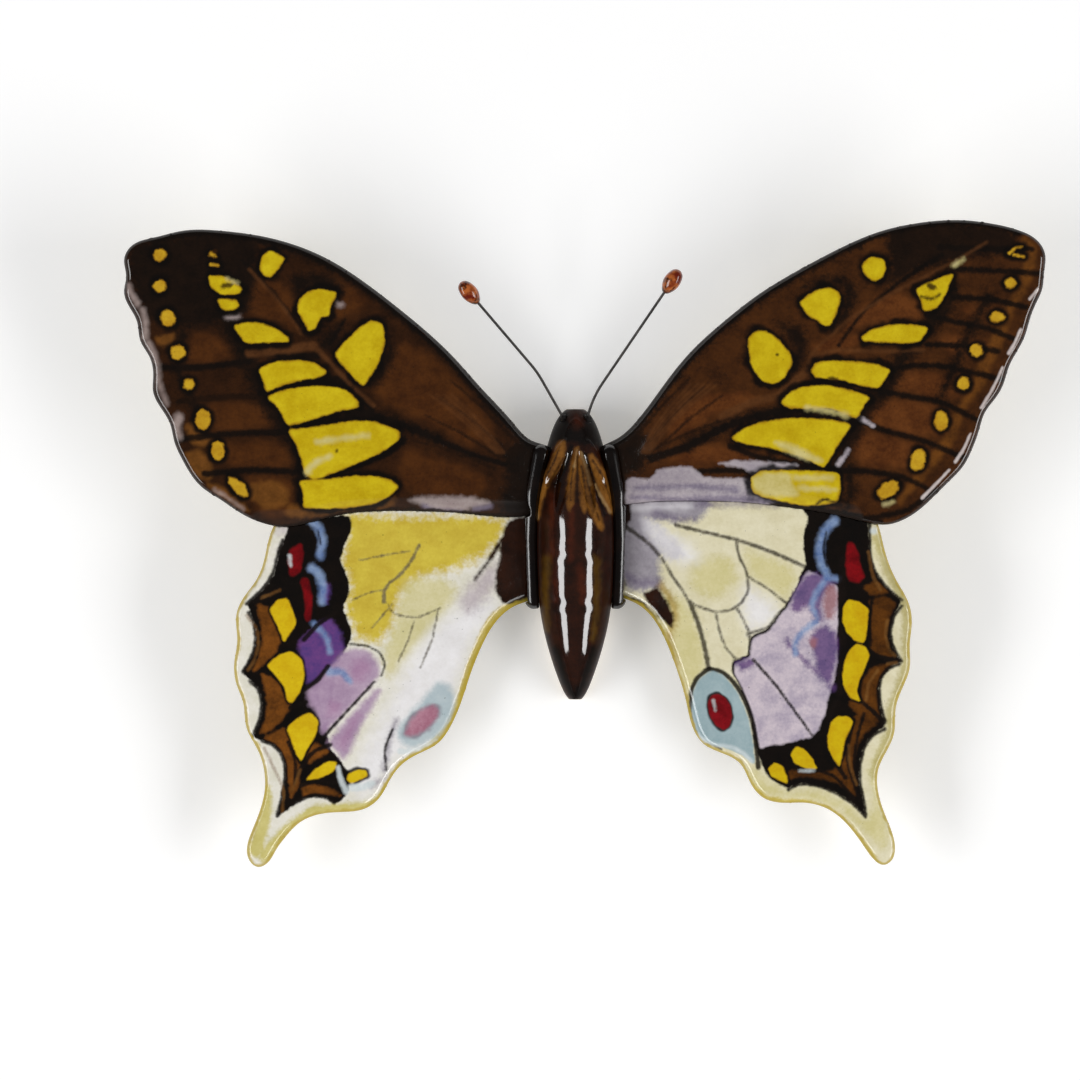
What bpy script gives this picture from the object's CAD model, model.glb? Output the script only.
"""The painted, glazed looks of an earthenware swallowtail butterfly, around its fixed clay frame.

Sizes are in metres in the meshes. Elsewhere a name ends in its unit, or a docstring gives it.
The places of the painting are read in pixels of a picture that looks straight down on the
painted face, with X to the right and Y down, and are turned into millimetres by Picture.
"""
import logging
import math
from dataclasses import dataclass, field
from enum import Enum
from typing import Dict, List, Optional, Sequence, Tuple, Union

import bmesh
import bpy
import numpy as np
from mathutils import Matrix, Vector


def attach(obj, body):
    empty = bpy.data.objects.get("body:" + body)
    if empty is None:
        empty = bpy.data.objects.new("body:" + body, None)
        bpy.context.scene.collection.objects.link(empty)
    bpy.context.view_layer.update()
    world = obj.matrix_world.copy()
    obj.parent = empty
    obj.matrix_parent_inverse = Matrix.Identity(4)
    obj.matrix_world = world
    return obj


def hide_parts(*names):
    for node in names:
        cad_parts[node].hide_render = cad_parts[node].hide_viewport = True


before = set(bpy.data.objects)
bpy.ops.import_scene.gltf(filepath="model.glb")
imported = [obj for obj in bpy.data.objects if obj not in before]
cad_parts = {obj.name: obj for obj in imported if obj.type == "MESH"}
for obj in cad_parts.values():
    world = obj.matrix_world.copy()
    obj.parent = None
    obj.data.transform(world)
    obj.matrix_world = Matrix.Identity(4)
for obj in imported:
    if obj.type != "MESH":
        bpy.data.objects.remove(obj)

LOG = logging.getLogger("butterfly")
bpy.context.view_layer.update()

MM = 0.001
FAR_MM = 4.0  # places farther than this from a motif don't feel it
WELD_MM = 0.002  # corners nearer than this are one corner
SLIVER_MM = 0.0002  # faces thinner than this are dissolved
SHORT_MM = 1e-9  # the least length that is divided by
TINY = 1e-12  # the least square that is divided by
BODY_AXIS_MM = -1.3  # the body's middle line, across the plan
SOCKET_MM = (1.75, 18.3, 5.6)  # an antenna's socket: beside that line, towards the head, up
Point = Tuple[float, float]
Wave = Tuple[float, float, float]


# The picture and its curves

@dataclass(frozen=True)
class Picture:
    """The picture that the painting's places are read in."""

    span_px: float = 921.0
    span_mm: float = 133.0
    middle_px: Point = (584.5, 544.0)
    frame_px: Point = (1080.0, 1080.0)

    @property
    def scale(self) -> float:
        """Millimetres in a pixel."""
        return self.span_mm / self.span_px

    def plan(self, places: Sequence[Point]) -> np.ndarray:
        """Places on the ground plan, in millimetres, of a row of pixels."""
        grid = np.array(places, float)
        middle = np.array(self.middle_px)
        return (grid - middle) * np.array((self.scale, -self.scale))


PICTURE = Picture()


def spline_loop(knots: np.ndarray, per_span: int = 6) -> np.ndarray:
    """A closed smooth curve through knots.

    Args:
        knots: the points that the curve passes, one row each.
        per_span: points of the curve from one knot to the next.

    Returns:
        The curve's points, one row each.
    """
    after = np.roll(knots, -1, axis=0)
    span = np.hypot(*(after - knots).T)
    before = np.roll(span, 1)
    count = len(knots)
    matrix = np.zeros((count, count))
    slope = (after - knots) / span[:, None]
    for row in range(count):
        matrix[row, row - 1] += before[row]
        matrix[row, row] += 2 * (before[row] + span[row])
        matrix[row, (row + 1) % count] += span[row]
    bend = np.linalg.solve(matrix, 6 * (slope - np.roll(slope, 1, axis=0)))
    bend_after = np.roll(bend, -1, axis=0)
    curve = []
    for row in range(count):
        length = span[row]
        for step in np.arange(per_span) / per_span * length:
            rest = length - step
            curve.append(
                (bend[row] * rest ** 3 + bend_after[row] * step ** 3) / (6 * length)
                + (knots[row] / length - bend[row] * length / 6) * rest
                + (after[row] / length - bend_after[row] * length / 6) * step
            )
    return np.array(curve)


def eased(line: np.ndarray, closed: bool, rounds: int = 2, cut_share: float = 0.15) -> np.ndarray:
    """A line with its corners cut, as a loaded brush rounds them.

    Args:
        line: the line's points, one row each.
        closed: whether the line's end meets its start.
        rounds: how often the corners are cut.
        cut_share: the share of a side that a corner loses.

    Returns:
        The rounded line's points, one row each.
    """
    for _ in range(rounds):
        after = np.roll(line, -1, axis=0)
        near = (1 - cut_share) * line + cut_share * after
        far = cut_share * line + (1 - cut_share) * after
        cut = np.stack((near, far), axis=1).reshape(-1, 2)
        line = cut if closed else np.vstack((line[:1], cut[:-2], line[-1:]))
    return line


def nearest_on(
    places: np.ndarray, line: np.ndarray, closed: bool
) -> Tuple[np.ndarray, np.ndarray, np.ndarray]:
    """How far places lie from a line.

    Args:
        places: the places, one row each.
        line: the line's points, one row each.
        closed: whether the line's end meets its start.

    Returns:
        Each place's distance, its nearest spot on the line, and that spot's share of the line.
    """
    starts = line if closed else line[:-1]
    ends = np.roll(line, -1, axis=0) if closed else line[1:]
    best = np.full(len(places), np.inf)
    spots = np.zeros_like(places)
    shares = np.zeros(len(places))
    for index, (start, end) in enumerate(zip(starts, ends)):
        step = end - start
        share = np.clip((places - start) @ step / max(step @ step, TINY), 0, 1)
        foot = start + share[:, None] * step
        gap = np.hypot(*(places - foot).T)
        closer = gap < best
        best[closer] = gap[closer]
        spots[closer] = foot[closer]
        shares[closer] = (index + share[closer]) / len(starts)
    return best, spots, shares


def is_inside(places: np.ndarray, loop: np.ndarray) -> np.ndarray:
    """Whether each place lies inside a closed loop.

    Args:
        places: the places, one row each.
        loop: the loop's points, one row each.

    Returns:
        True for each place inside.
    """
    inside = np.zeros(len(places), bool)
    for (x0, y0), (x1, y1) in zip(loop, np.roll(loop, -1, axis=0)):
        if y0 != y1:
            crossed = (places[:, 1] > y0) != (places[:, 1] > y1)
            at = x0 + (places[:, 1] - y0) * (x1 - x0) / (y1 - y0)
            inside ^= crossed & (places[:, 0] < at)
    return inside


def step_between(value: np.ndarray, low: float, high: float) -> np.ndarray:
    """A smooth step from 0 at low to 1 at high."""
    share = np.clip((value - low) / (high - low), 0, 1)
    return share * share * (3 - 2 * share)


@dataclass(frozen=True)
class Motif:
    """One painted shape: a closed patch, or a brush stroke where it has a width, in pixels."""

    points: Tuple[Point, ...]
    width: float = 0.0
    end_width: Optional[float] = None

    def distance(self, places: np.ndarray) -> np.ndarray:
        """How far places on the plan lie from the shape's edge.

        Args:
            places: the places, in millimetres, one row each.

        Returns:
            The signed distances in millimetres, below zero inside.
        """
        line = PICTURE.plan(self.points)
        closed = self.width == 0
        line = eased(line, closed)
        reach = FAR_MM + self.width * PICTURE.scale
        near = np.all((places > line.min(0) - reach) & (places < line.max(0) + reach), axis=1)
        result = np.full(len(places), FAR_MM)
        if not near.any():
            return result
        gap, _, share = nearest_on(places[near], line, closed)
        if closed:
            gap[is_inside(places[near], line)] *= -1
        else:
            last = self.width if self.end_width is None else self.end_width
            gap -= (self.width + (last - self.width) * share) * PICTURE.scale / 2
        result[near] = np.minimum(gap, FAR_MM)
        return result


def patches(*shapes: Sequence[Point]) -> Tuple[Motif, ...]:
    """Closed patches."""
    return tuple(Motif(tuple(shape)) for shape in shapes)


def strokes(width: float, *lines: Sequence[Point], end: Optional[float] = None) -> Tuple[Motif, ...]:
    """Brush strokes of one width, tapering to an end width where one is given."""
    return tuple(Motif(tuple(line), width, end) for line in lines)


def dot(
    x: float, y: float, across: float, up: Optional[float] = None, lean: float = 0.0, corners: int = 8
) -> Tuple[Motif, ...]:
    """A round or oval dab.

    Args:
        x: its middle, to the right.
        y: its middle, downwards.
        across: half its width.
        up: half its height, the same as its width where it is left out.
        lean: how far its top leans to the right, in degrees.
        corners: the corners of the ring that is rounded into the dab.

    Returns:
        The dab, as a row of one patch.
    """
    tall = across if up is None else up
    turn = math.radians(lean)
    ring = []
    for step in range(corners):
        angle = math.tau * step / corners
        side, rise = across * math.cos(angle), tall * math.sin(angle)
        ring.append(
            (x + side * math.cos(turn) + rise * math.sin(turn),
             y + side * math.sin(turn) - rise * math.cos(turn))
        )
    return patches(ring)


def combed(
    width: float, spread: float, count: int, *lines: Sequence[Point], start_share: float = 0.3
) -> Tuple[Motif, ...]:
    """Fine strokes side by side, fanning out along each line as combed hair does.

    Args:
        width: a stroke's width where it starts.
        spread: how far the outer strokes end from the line.
        count: strokes to a line.
        lines: the middles of the locks.
        start_share: the share of that spread that the strokes start with.

    Returns:
        The strokes.
    """
    hairs = []
    for line in lines:
        last = len(line) - 1
        for side in np.linspace(-spread, spread, count):
            hair = [
                (x + side * (start_share + (1 - start_share) * step / last), y)
                for step, (x, y) in enumerate(line)
            ]
            hairs += strokes(width, hair, end=width / 2)
    return tuple(hairs)


# Shader maths

def paint(code: str) -> Tuple[float, float, float, float]:
    """The linear colour of a six-digit screen colour."""
    channels = []
    for start in (0, 2, 4):
        share = int(code[start:start + 2], 16) / 255
        channels.append(share / 12.92 if share <= 0.04045 else ((share + 0.055) / 1.055) ** 2.4)
    return (*channels, 1.0)


class Signal:
    """A node's output that takes part in Python arithmetic."""

    def __init__(self, graph: "Graph", socket: bpy.types.NodeSocket) -> None:
        """Hold a socket and the graph that it is in."""
        self.graph = graph
        self.socket = socket

    def _math(self, operation: str, first: "Value", second: "Value") -> "Signal":
        """The output of a new Math node."""
        return self.graph.node("ShaderNodeMath", {"operation": operation}, {0: first, 1: second})

    def __add__(self, other: "Value") -> "Signal":
        """self + other."""
        return self._math("ADD", self, other)

    def __radd__(self, other: "Value") -> "Signal":
        """other + self."""
        return self._math("ADD", other, self)

    def __sub__(self, other: "Value") -> "Signal":
        """self - other."""
        return self._math("SUBTRACT", self, other)

    def __rsub__(self, other: "Value") -> "Signal":
        """other - self."""
        return self._math("SUBTRACT", other, self)

    def __mul__(self, other: "Value") -> "Signal":
        """self * other."""
        return self._math("MULTIPLY", self, other)

    def __rmul__(self, other: "Value") -> "Signal":
        """other * self."""
        return self._math("MULTIPLY", other, self)

    def clamped(self) -> "Signal":
        """The value held between 0 and 1."""
        return self.graph.node("ShaderNodeClamp", {}, {0: self, 1: 0.0, 2: 1.0})

    def between(self, low: float, high: float) -> "Signal":
        """A smooth step from 0 at low to 1 at high."""
        settings = {"interpolation_type": "SMOOTHSTEP"}
        return self.graph.node("ShaderNodeMapRange", settings, {0: self, 1: low, 2: high, 3: 0.0, 4: 1.0})


Value = Union[float, Tuple[float, ...], Signal]


class Graph:
    """A node tree that is written as Python expressions."""

    def __init__(self, tree: bpy.types.NodeTree) -> None:
        """Empty a tree to write in."""
        self.tree = tree
        tree.nodes.clear()

    def make(
        self, kind: str, settings: Dict[str, object], inputs: Dict[Union[int, str], Value]
    ) -> bpy.types.Node:
        """Add a node.

        Args:
            kind: the node's type.
            settings: the node's properties, which are set first.
            inputs: values or signals for its sockets, by place or name.

        Returns:
            The node.
        """
        node = self.tree.nodes.new(kind)
        for name, value in settings.items():
            setattr(node, name, value)
        for key, value in inputs.items():
            socket = node.inputs[key]
            if isinstance(value, Signal):
                self.tree.links.new(value.socket, socket)
            else:
                socket.default_value = value
        return node

    def node(
        self,
        kind: str,
        settings: Dict[str, object],
        inputs: Dict[Union[int, str], Value],
        output: Union[int, str] = 0,
    ) -> Signal:
        """Add a node, as make does, and give one of its outputs."""
        return Signal(self, self.make(kind, settings, inputs).outputs[output])

    def blend(self, share: Value, under: Value, over: Value) -> Signal:
        """One colour laid over another by a share."""
        settings = {"data_type": "RGBA", "blend_type": "MIX", "clamp_factor": True}
        return self.node("ShaderNodeMix", settings, {0: share, 6: under, 7: over}, 2)

    def layer(self, name: str) -> Signal:
        """A layer of numbers that the mesh carries."""
        return self.node("ShaderNodeAttribute", {"attribute_name": name}, {}, "Fac")

    def place(self, stretch: Tuple[float, float, float] = (1, 1, 1), turn: float = 0.0) -> Signal:
        """Object coordinates, turned about Z by degrees and then stretched."""
        place = self.node("ShaderNodeTexCoord", {}, {}, "Object")
        inputs = {"Vector": place, "Rotation": (0, 0, math.radians(turn)), "Scale": stretch}
        return self.node("ShaderNodeMapping", {"vector_type": "POINT"}, inputs)

    def noise(self, grain_mm: float, detail: float = 2.0, place: Optional[Signal] = None) -> Signal:
        """Soft noise about one half, with a grain of some millimetres."""
        inputs = {"Scale": 1 / (grain_mm * MM), "Detail": detail, "Roughness": 0.55}
        inputs["Vector"] = place or self.place()
        return self.node("ShaderNodeTexNoise", {"noise_dimensions": "3D"}, inputs)


# Finishes

@dataclass(frozen=True)
class GlazeFinish:
    """A fired, glossy glaze."""

    roughness: float = 0.11
    rough_spread: float = 0.08
    dull_roughness: float = 0.6
    coat: float = 0.8
    coat_roughness: float = 0.05
    coat_index: float = 1.5
    index: float = 1.34
    ripple_mm: float = 0.012
    ripple_grain_mm: float = 2.2
    pit_mm: float = 0.004

    def surface(self, graph: Graph, colour: Value, dull: Value = 0.0, flat: Value = 1.0) -> None:
        """Close a material with this glaze.

        Args:
            graph: the material's graph.
            colour: the paint under the glaze.
            dull: where the glaze is satin, from 0 to 1.
            flat: where the clay lies flat and the melted glaze has stayed thick, from 0 to 1.
        """
        smudges = graph.noise(grain_mm=1.4, detail=3.0) * self.rough_spread
        rough = smudges + (self.roughness - self.rough_spread / 2) + dull * self.dull_roughness
        coat = (1.0 - dull) * flat * self.coat
        swell = graph.noise(self.ripple_grain_mm, detail=1.0) * self.ripple_mm
        pits = graph.noise(grain_mm=0.35).between(0.62, 0.74) * self.pit_mm
        bump = graph.node(
            "ShaderNodeBump", {}, {"Strength": 1.0, "Distance": MM, "Height": swell - pits}
        )
        shader = graph.node(
            "ShaderNodeBsdfPrincipled", {},
            {"Base Color": colour, "Roughness": rough, "IOR": self.index, "Coat Weight": coat,
             "Coat Roughness": self.coat_roughness, "Coat IOR": self.coat_index, "Normal": bump},
        )
        graph.make("ShaderNodeOutputMaterial", {}, {"Surface": shader})


@dataclass(frozen=True)
class DullFinish:
    """A dry surface: bare clay, cement or painted wire."""

    deep: str
    bright: str
    roughness: float
    grain_mm: float
    bump_mm: float
    rough_spread: float = 0.16

    def material(self, name: str) -> bpy.types.Material:
        """A material of this finish.

        Args:
            name: the material's name.

        Returns:
            The material.
        """
        material, graph = new_material(name)
        broad = graph.noise(self.grain_mm * 6, detail=3.0)
        fine = graph.noise(self.grain_mm, detail=3.0)
        share = (broad * 0.6 + fine * 0.4).between(0.36, 0.66)
        colour = graph.blend(share, paint(self.deep), paint(self.bright))
        bump = graph.node(
            "ShaderNodeBump", {},
            {"Strength": 1.0, "Distance": MM, "Height": (fine + broad) * self.bump_mm},
        )
        rough = fine * self.rough_spread + (self.roughness - self.rough_spread / 2)
        shader = graph.node(
            "ShaderNodeBsdfPrincipled", {},
            {"Base Color": colour, "Roughness": rough, "Normal": bump},
        )
        graph.make("ShaderNodeOutputMaterial", {}, {"Surface": shader})
        return material


def new_material(name: str) -> Tuple[bpy.types.Material, Graph]:
    """An empty node material and its graph."""
    material = bpy.data.materials.new(name)
    material.use_nodes = True
    return material, Graph(material.node_tree)


class Paint(Enum):
    """The paints, by the name of the mesh layer that says where each one lies.

    Three have no brush where they are used so: BARE stops the rim's colour, SEAM makes the glaze
    satin, and the body's BAND presses the rings in.
    """

    BARE = "bare"
    WARM = "warm"
    SOOT = "soot"
    MARGIN = "margin"
    SUN = "sun"
    WASH = "wash"
    LINE = "line"
    RIDGE = "ridge"
    STREAK = "streak"
    PATCH = "patch"
    DAB = "dab"
    HOLE = "hole"
    PALE = "pale"
    MAUVE = "mauve"
    GREY = "grey"
    BAND = "band"
    LILAC = "lilac"
    VIOLET = "violet"
    ROSE = "rose"
    BLUE = "blue"
    RED = "red"
    EYE = "eye"
    PUPIL = "pupil"
    VEIN = "vein"
    ROOT = "root"
    GLINT = "glint"
    SEAM = "seam"


@dataclass(frozen=True)
class Brushwork:
    """How one paint is laid on: its colours, its edge, and the dark ring that it may lie in."""

    deep: str
    bright: str
    cover: float = 1.0
    soft_mm: float = 0.16
    wobble_mm: float = 0.14
    border: Optional[str] = None
    border_mm: float = 0.4
    border_cover: float = 0.85
    halo: Optional[str] = None
    halo_mm: float = 0.0
    halo_soft_mm: float = 0.3
    halo_drift_mm: float = 0.9
    halo_cover: float = 0.95


@dataclass(frozen=True)
class Hand:
    """The unsteadiness of the painter's hand in one material."""

    wobble: Signal
    drift: Signal
    tone: Signal


# Clay forms

def even_copy(node: str, name: str, voxel_mm: float, smoothing: int = 0) -> bpy.types.Object:
    """A copy of a fixed clay piece with an even, closed mesh.

    Args:
        node: the fixed piece.
        name: the copy's name.
        voxel_mm: the width of a face of the copy.
        smoothing: how often the mesh is relaxed.

    Returns:
        The copy.
    """
    form = bmesh.new()
    form.from_mesh(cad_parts[node].data)
    bmesh.ops.remove_doubles(form, verts=form.verts, dist=WELD_MM * MM)
    bmesh.ops.recalc_face_normals(form, faces=form.faces)
    mesh = bpy.data.meshes.new(name)
    form.to_mesh(mesh)
    form.free()
    piece = bpy.data.objects.new(name, mesh)
    bpy.context.scene.collection.objects.link(piece)
    remesh = piece.modifiers.new("even faces", "REMESH")
    remesh.mode = "VOXEL"
    remesh.voxel_size = voxel_mm * MM
    if smoothing:
        relax = piece.modifiers.new("relaxed clay", "SMOOTH")
        relax.factor = 0.5
        relax.iterations = smoothing
    shaped = piece.evaluated_get(bpy.context.evaluated_depsgraph_get())
    final = bpy.data.meshes.new_from_object(shaped)
    final.name = name
    piece.modifiers.clear()
    piece.data = final
    final.materials.clear()
    return piece


def read_places(mesh: bpy.types.Mesh) -> np.ndarray:
    """The mesh's vertices in millimetres, one row each."""
    flat = np.zeros(len(mesh.vertices) * 3)
    mesh.vertices.foreach_get("co", flat)
    return flat.reshape(-1, 3) / MM


def write_places(mesh: bpy.types.Mesh, places: np.ndarray) -> None:
    """Put the mesh's vertices at places in millimetres."""
    mesh.vertices.foreach_set("co", (places * MM).ravel())
    mesh.update()


def write_layer(mesh: bpy.types.Mesh, name: str, values: np.ndarray) -> None:
    """Give the mesh a layer of one number to a vertex."""
    layer = mesh.attributes.new(name, "FLOAT", "POINT")
    layer.data.foreach_set("value", values.astype(np.float32))


def drop_slivers(mesh: bpy.types.Mesh) -> None:
    """Dissolve the faces that the moves left without any area."""
    form = bmesh.new()
    form.from_mesh(mesh)
    bmesh.ops.dissolve_degenerate(form, dist=SLIVER_MM * MM, edges=form.edges)
    form.to_mesh(mesh)
    form.free()


def hand_swell(places: np.ndarray, waves: Sequence[Wave]) -> np.ndarray:
    """The slow swell that pressing hands leave in clay.

    Args:
        places: the vertices, in millimetres.
        waves: each wave's radians to a millimetre along X and along Y, and its start.

    Returns:
        The waves' sum at each vertex, raised so that it is never below zero.
    """
    x, y = places[:, 0], places[:, 1]
    return sum(np.sin(x_turn * x + y_turn * y + start) for x_turn, y_turn, start in waves) + len(waves)


def dress(piece: bpy.types.Object, material: bpy.types.Material, slot: str, *nodes: str) -> None:
    """Give a new piece its material and its place in the frame.

    Args:
        piece: the piece.
        material: its material.
        slot: the record's material slot.
        nodes: the fixed pieces that it stands for.
    """
    piece.data.materials.append(material)
    piece.data.shade_smooth()
    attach(piece, "root")
    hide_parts(*nodes)
    LOG.info("%s: %d faces, for %s", piece.name, len(piece.data.polygons), ", ".join(nodes))


@dataclass(kw_only=True)
class Painted:
    """A clay piece that carries painting under its glaze.

    The paints are laid in the order of the brushes, over a ground that runs from a deep to a
    bright tone. The streaks of the ground are drawn out across the turn that is given, in degrees.
    """

    name: str
    node: str
    slot: str
    paints: Dict[Paint, Tuple[Motif, ...]]
    brushes: Dict[Paint, Brushwork]
    ground: Tuple[str, str]
    streak_turn: float = 0.0
    steep_dullness: float = 0.4
    speck_cover: float = 0.35

    def layers(self, places: np.ndarray) -> Dict[Paint, np.ndarray]:
        """How far each vertex lies from each paint.

        Args:
            places: the vertices, in millimetres.

        Returns:
            For each paint, the signed distances in millimetres, below zero inside.
        """
        found = {}
        for kind, motifs in self.paints.items():
            nearest = np.full(len(places), FAR_MM)
            for motif in motifs:
                nearest = np.minimum(nearest, motif.distance(places[:, :2]))
            found[kind] = nearest
        return found

    def painting(self, graph: Graph) -> Signal:
        """The ground colour with every paint laid over it in turn.

        Args:
            graph: the material's graph.

        Returns:
            The colour.
        """
        drawn_out = graph.place((1.0, 2.4, 1.0), self.streak_turn)
        streaks = graph.noise(grain_mm=4.0, detail=4.0, place=drawn_out).between(0.3, 0.7)
        cloud = graph.noise(grain_mm=2.6, detail=4.0).between(0.32, 0.68)
        grain = graph.noise(grain_mm=0.45, detail=3.0).between(0.25, 0.75)
        share = (streaks * 0.3 + cloud * 0.4 + grain * 0.3).clamped()
        colour = graph.blend(share, paint(self.ground[0]), paint(self.ground[1]))
        hand = Hand(
            wobble=(graph.noise(grain_mm=0.9) - 0.5) * 2.0,
            drift=(graph.noise(grain_mm=2.4) - 0.5) * 2.0,
            tone=(cloud * 0.5 + streaks * 0.2 + grain * 0.3).clamped(),
        )
        for kind, brush in self.brushes.items():
            if kind in self.paints:
                colour = self.brush_on(graph, colour, graph.layer(kind.value), brush, hand)
        speck = graph.noise(grain_mm=0.5, detail=1.0).between(0.74, 0.8) * self.speck_cover
        return graph.blend(speck, colour, paint("1a1008"))

    def brush_on(
        self, graph: Graph, colour: Signal, away: Signal, brush: Brushwork, hand: Hand
    ) -> Signal:
        """Lay one paint over what is there.

        Args:
            graph: the material's graph.
            colour: the colour so far.
            away: signed distance from the paint.
            brush: how the paint is laid on.
            hand: how unsteady its edge and its colour are.

        Returns:
            The colour with the paint on it.
        """
        if brush.halo is not None:
            reach = away + hand.drift * brush.halo_drift_mm
            ring = 1.0 - (reach - brush.halo_mm).between(-brush.halo_soft_mm, brush.halo_soft_mm)
            colour = graph.blend(ring * brush.halo_cover, colour, paint(brush.halo))
        away = away + hand.wobble * brush.wobble_mm
        mask = 1.0 - away.between(-brush.soft_mm, brush.soft_mm)
        ink = graph.blend(hand.tone, paint(brush.deep), paint(brush.bright))
        if brush.border is not None:
            rim = (away + hand.drift * brush.border_mm).between(-brush.border_mm, brush.soft_mm)
            ink = graph.blend(rim * brush.border_cover, ink, paint(brush.border))
        return graph.blend(mask * brush.cover, colour, ink)


@dataclass(frozen=True)
class Roll:
    """A soft roll of the face down to a line: along it the clay lies lower."""

    line: Tuple[Point, ...]
    reach_mm: float
    drop_mm: float


@dataclass(kw_only=True)
class Wing(Painted):
    """One wing: a swept slab with a rounded rim, relief and painting.

    A slope is the two values between which its effect sets in: distances inside the rim or away
    from a paint, in millimetres, or how far a vertex lies up the slab, from -1 to 1. The sweep,
    the root, the hinge, the droop and the ledge say how the slab lies.
    """

    side: int
    outline_px: List[Point]
    edge: str
    edge_mm: float
    edge_core: float = 0.3
    edge_wobble_mm: float = 0.4
    edge_cover: float = 0.9
    bare_slope_mm: Tuple[float, float] = (-0.2, 0.6)
    underside: Tuple[str, str] = ("c9bd9a", "dcd3b6")
    underside_slope: Tuple[float, float] = (-0.75, -0.45)
    underside_wobble: float = 0.15
    droop_deg: float = 0.0
    ledge_mm: float = 0.0
    rolls: Tuple[Roll, ...] = ()
    satin: float = 0.0
    satin_slope_mm: Tuple[float, float] = (0.7, 2.2)
    flat_slope_mm: Tuple[float, float] = (0.1, 0.7)
    seam_soft_mm: float = 0.6
    voxel_mm: float = 0.25
    loose_share: float = 0.9
    thickness_mm: float = 3.2
    sweep_radius_mm: float = 190.0
    root_tilt_deg: float = 19.0
    root_place_mm: float = 5.4
    root_height_mm: float = 5.6
    hinge_mm: float = 4.0
    rim_radius_mm: float = 1.15
    least_gap_mm: float = 1e-4
    field_sink_mm: float = 0.05
    field_slope_mm: Tuple[float, float] = (0.5, 2.2)
    raised_slope_mm: Tuple[float, float] = (-0.5, 0.7)
    dish_mm: float = 0.03
    dish_slope_mm: Tuple[float, float] = (-0.8, 0.5)
    groove_mm: float = 0.016
    groove_slope_mm: Tuple[float, float] = (-0.2, 0.5)
    swell_mm: float = 0.03
    swell_slope_mm: Tuple[float, float] = (0.3, 3.0)
    waves: Tuple[Wave, ...] = ((0.31, 0.5, 0.0), (0.57, -0.23, 1.3), (0.4, 0.83, 0.0))
    skin_mm: float = 0.04
    facing_slope: Tuple[float, float] = (0.0, 0.9)
    grooves: Tuple[Paint, ...] = ()
    raised: Tuple[Paint, ...] = ()
    dished: Tuple[Paint, ...] = ()
    upper: np.ndarray = field(init=False, repr=False)
    free: np.ndarray = field(init=False, repr=False)

    def face_height(self, plan: np.ndarray, offset: float) -> np.ndarray:
        """The height of the slab's upper or lower face.

        Args:
            plan: places on the plan, in millimetres.
            offset: the face's distance above the slab's middle.

        Returns:
            The height over each place.
        """
        tilt = math.radians(self.root_tilt_deg)
        droop = math.radians(self.droop_deg)
        radius = self.sweep_radius_mm
        across = BODY_AXIS_MM + self.side * (self.root_place_mm + radius * math.sin(tilt))
        up = self.root_height_mm - radius * math.cos(tilt)
        arc = up + np.sqrt((radius + offset) ** 2 - (plan[:, 0] - across) ** 2)
        lift = (arc - self.root_height_mm) / math.cos(droop)
        fall = (plan[:, 1] - self.hinge_mm) * math.tan(droop)
        return self.root_height_mm - self.ledge_mm + lift + fall

    def build(self) -> bpy.types.Object:
        """Make the wing, with its relief and its layers of paint.

        Returns:
            The wing.
        """
        piece = even_copy(self.node, self.name, self.voxel_mm)
        mesh = piece.data
        places = read_places(mesh)
        outline = spline_loop(PICTURE.plan(self.outline_px))
        rim = self.round_rim(places, outline)
        layers = self.layers(places)
        self.shape_relief(places, rim, layers)
        write_places(mesh, places)
        write_layer(mesh, "rim", rim)
        write_layer(mesh, "upper", self.upper)
        for kind, values in layers.items():
            write_layer(mesh, kind.value, values)
        drop_slivers(mesh)
        dress(piece, self.material(), self.slot, self.node)
        return piece

    def round_rim(self, places: np.ndarray, outline: np.ndarray) -> np.ndarray:
        """Set the vertices on the true slab and round its rim.

        Args:
            places: the vertices, in millimetres, which are moved.
            outline: the rim's line on the plan.

        Returns:
            How far each vertex lies inside the rim.
        """
        plan = places[:, :2]
        gap, spots, _ = nearest_on(plan, outline, True)
        inside = is_inside(plan, outline)
        depth = np.where(inside, gap, 0)
        top = self.face_height(plan, self.thickness_mm / 2) - self.skin_mm
        bottom = self.face_height(plan, -self.thickness_mm / 2)
        middle, half = (top + bottom) / 2, (top - bottom) / 2
        rise = np.clip(places[:, 2] - middle, -half, half)
        loose = self.loose_share * self.voxel_mm
        level = (half - np.abs(rise) < loose) & (half - np.abs(rise) <= depth + loose / 3)
        wall = (depth < loose) & ~level
        rise = np.where(level, np.sign(rise) * half, rise)
        depth = np.where(wall, 0, depth)
        radius = self.rim_radius_mm
        corner = half - radius
        across, up = radius - depth, np.abs(rise) - corner
        turned = (across > 0) & (up > 0) & (level | wall)
        reach = np.hypot(across, up)
        shrink = np.where(turned, np.maximum(across, up) / np.maximum(reach, SHORT_MM), 1)
        new_depth = np.where(turned, radius - across * shrink, depth)
        rise = np.where(turned, np.sign(rise) * (corner + up * shrink), rise)
        inward = plan - spots
        length = np.maximum(np.hypot(*inward.T), SHORT_MM)[:, None]
        inward = inward / length * np.where(inside, 1, -1)[:, None]
        near = gap < radius + loose
        moved = spots + inward * (new_depth + self.skin_mm)[:, None]
        safe = near & (turned | wall) & (gap > self.least_gap_mm)
        places[:, :2] = np.where(safe[:, None], moved, plan)
        touched = level | wall
        places[:, 2] = np.where(touched, middle + rise, places[:, 2])
        self.upper = np.clip(rise / half, -1, 1)
        self.free = touched
        return new_depth

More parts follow.
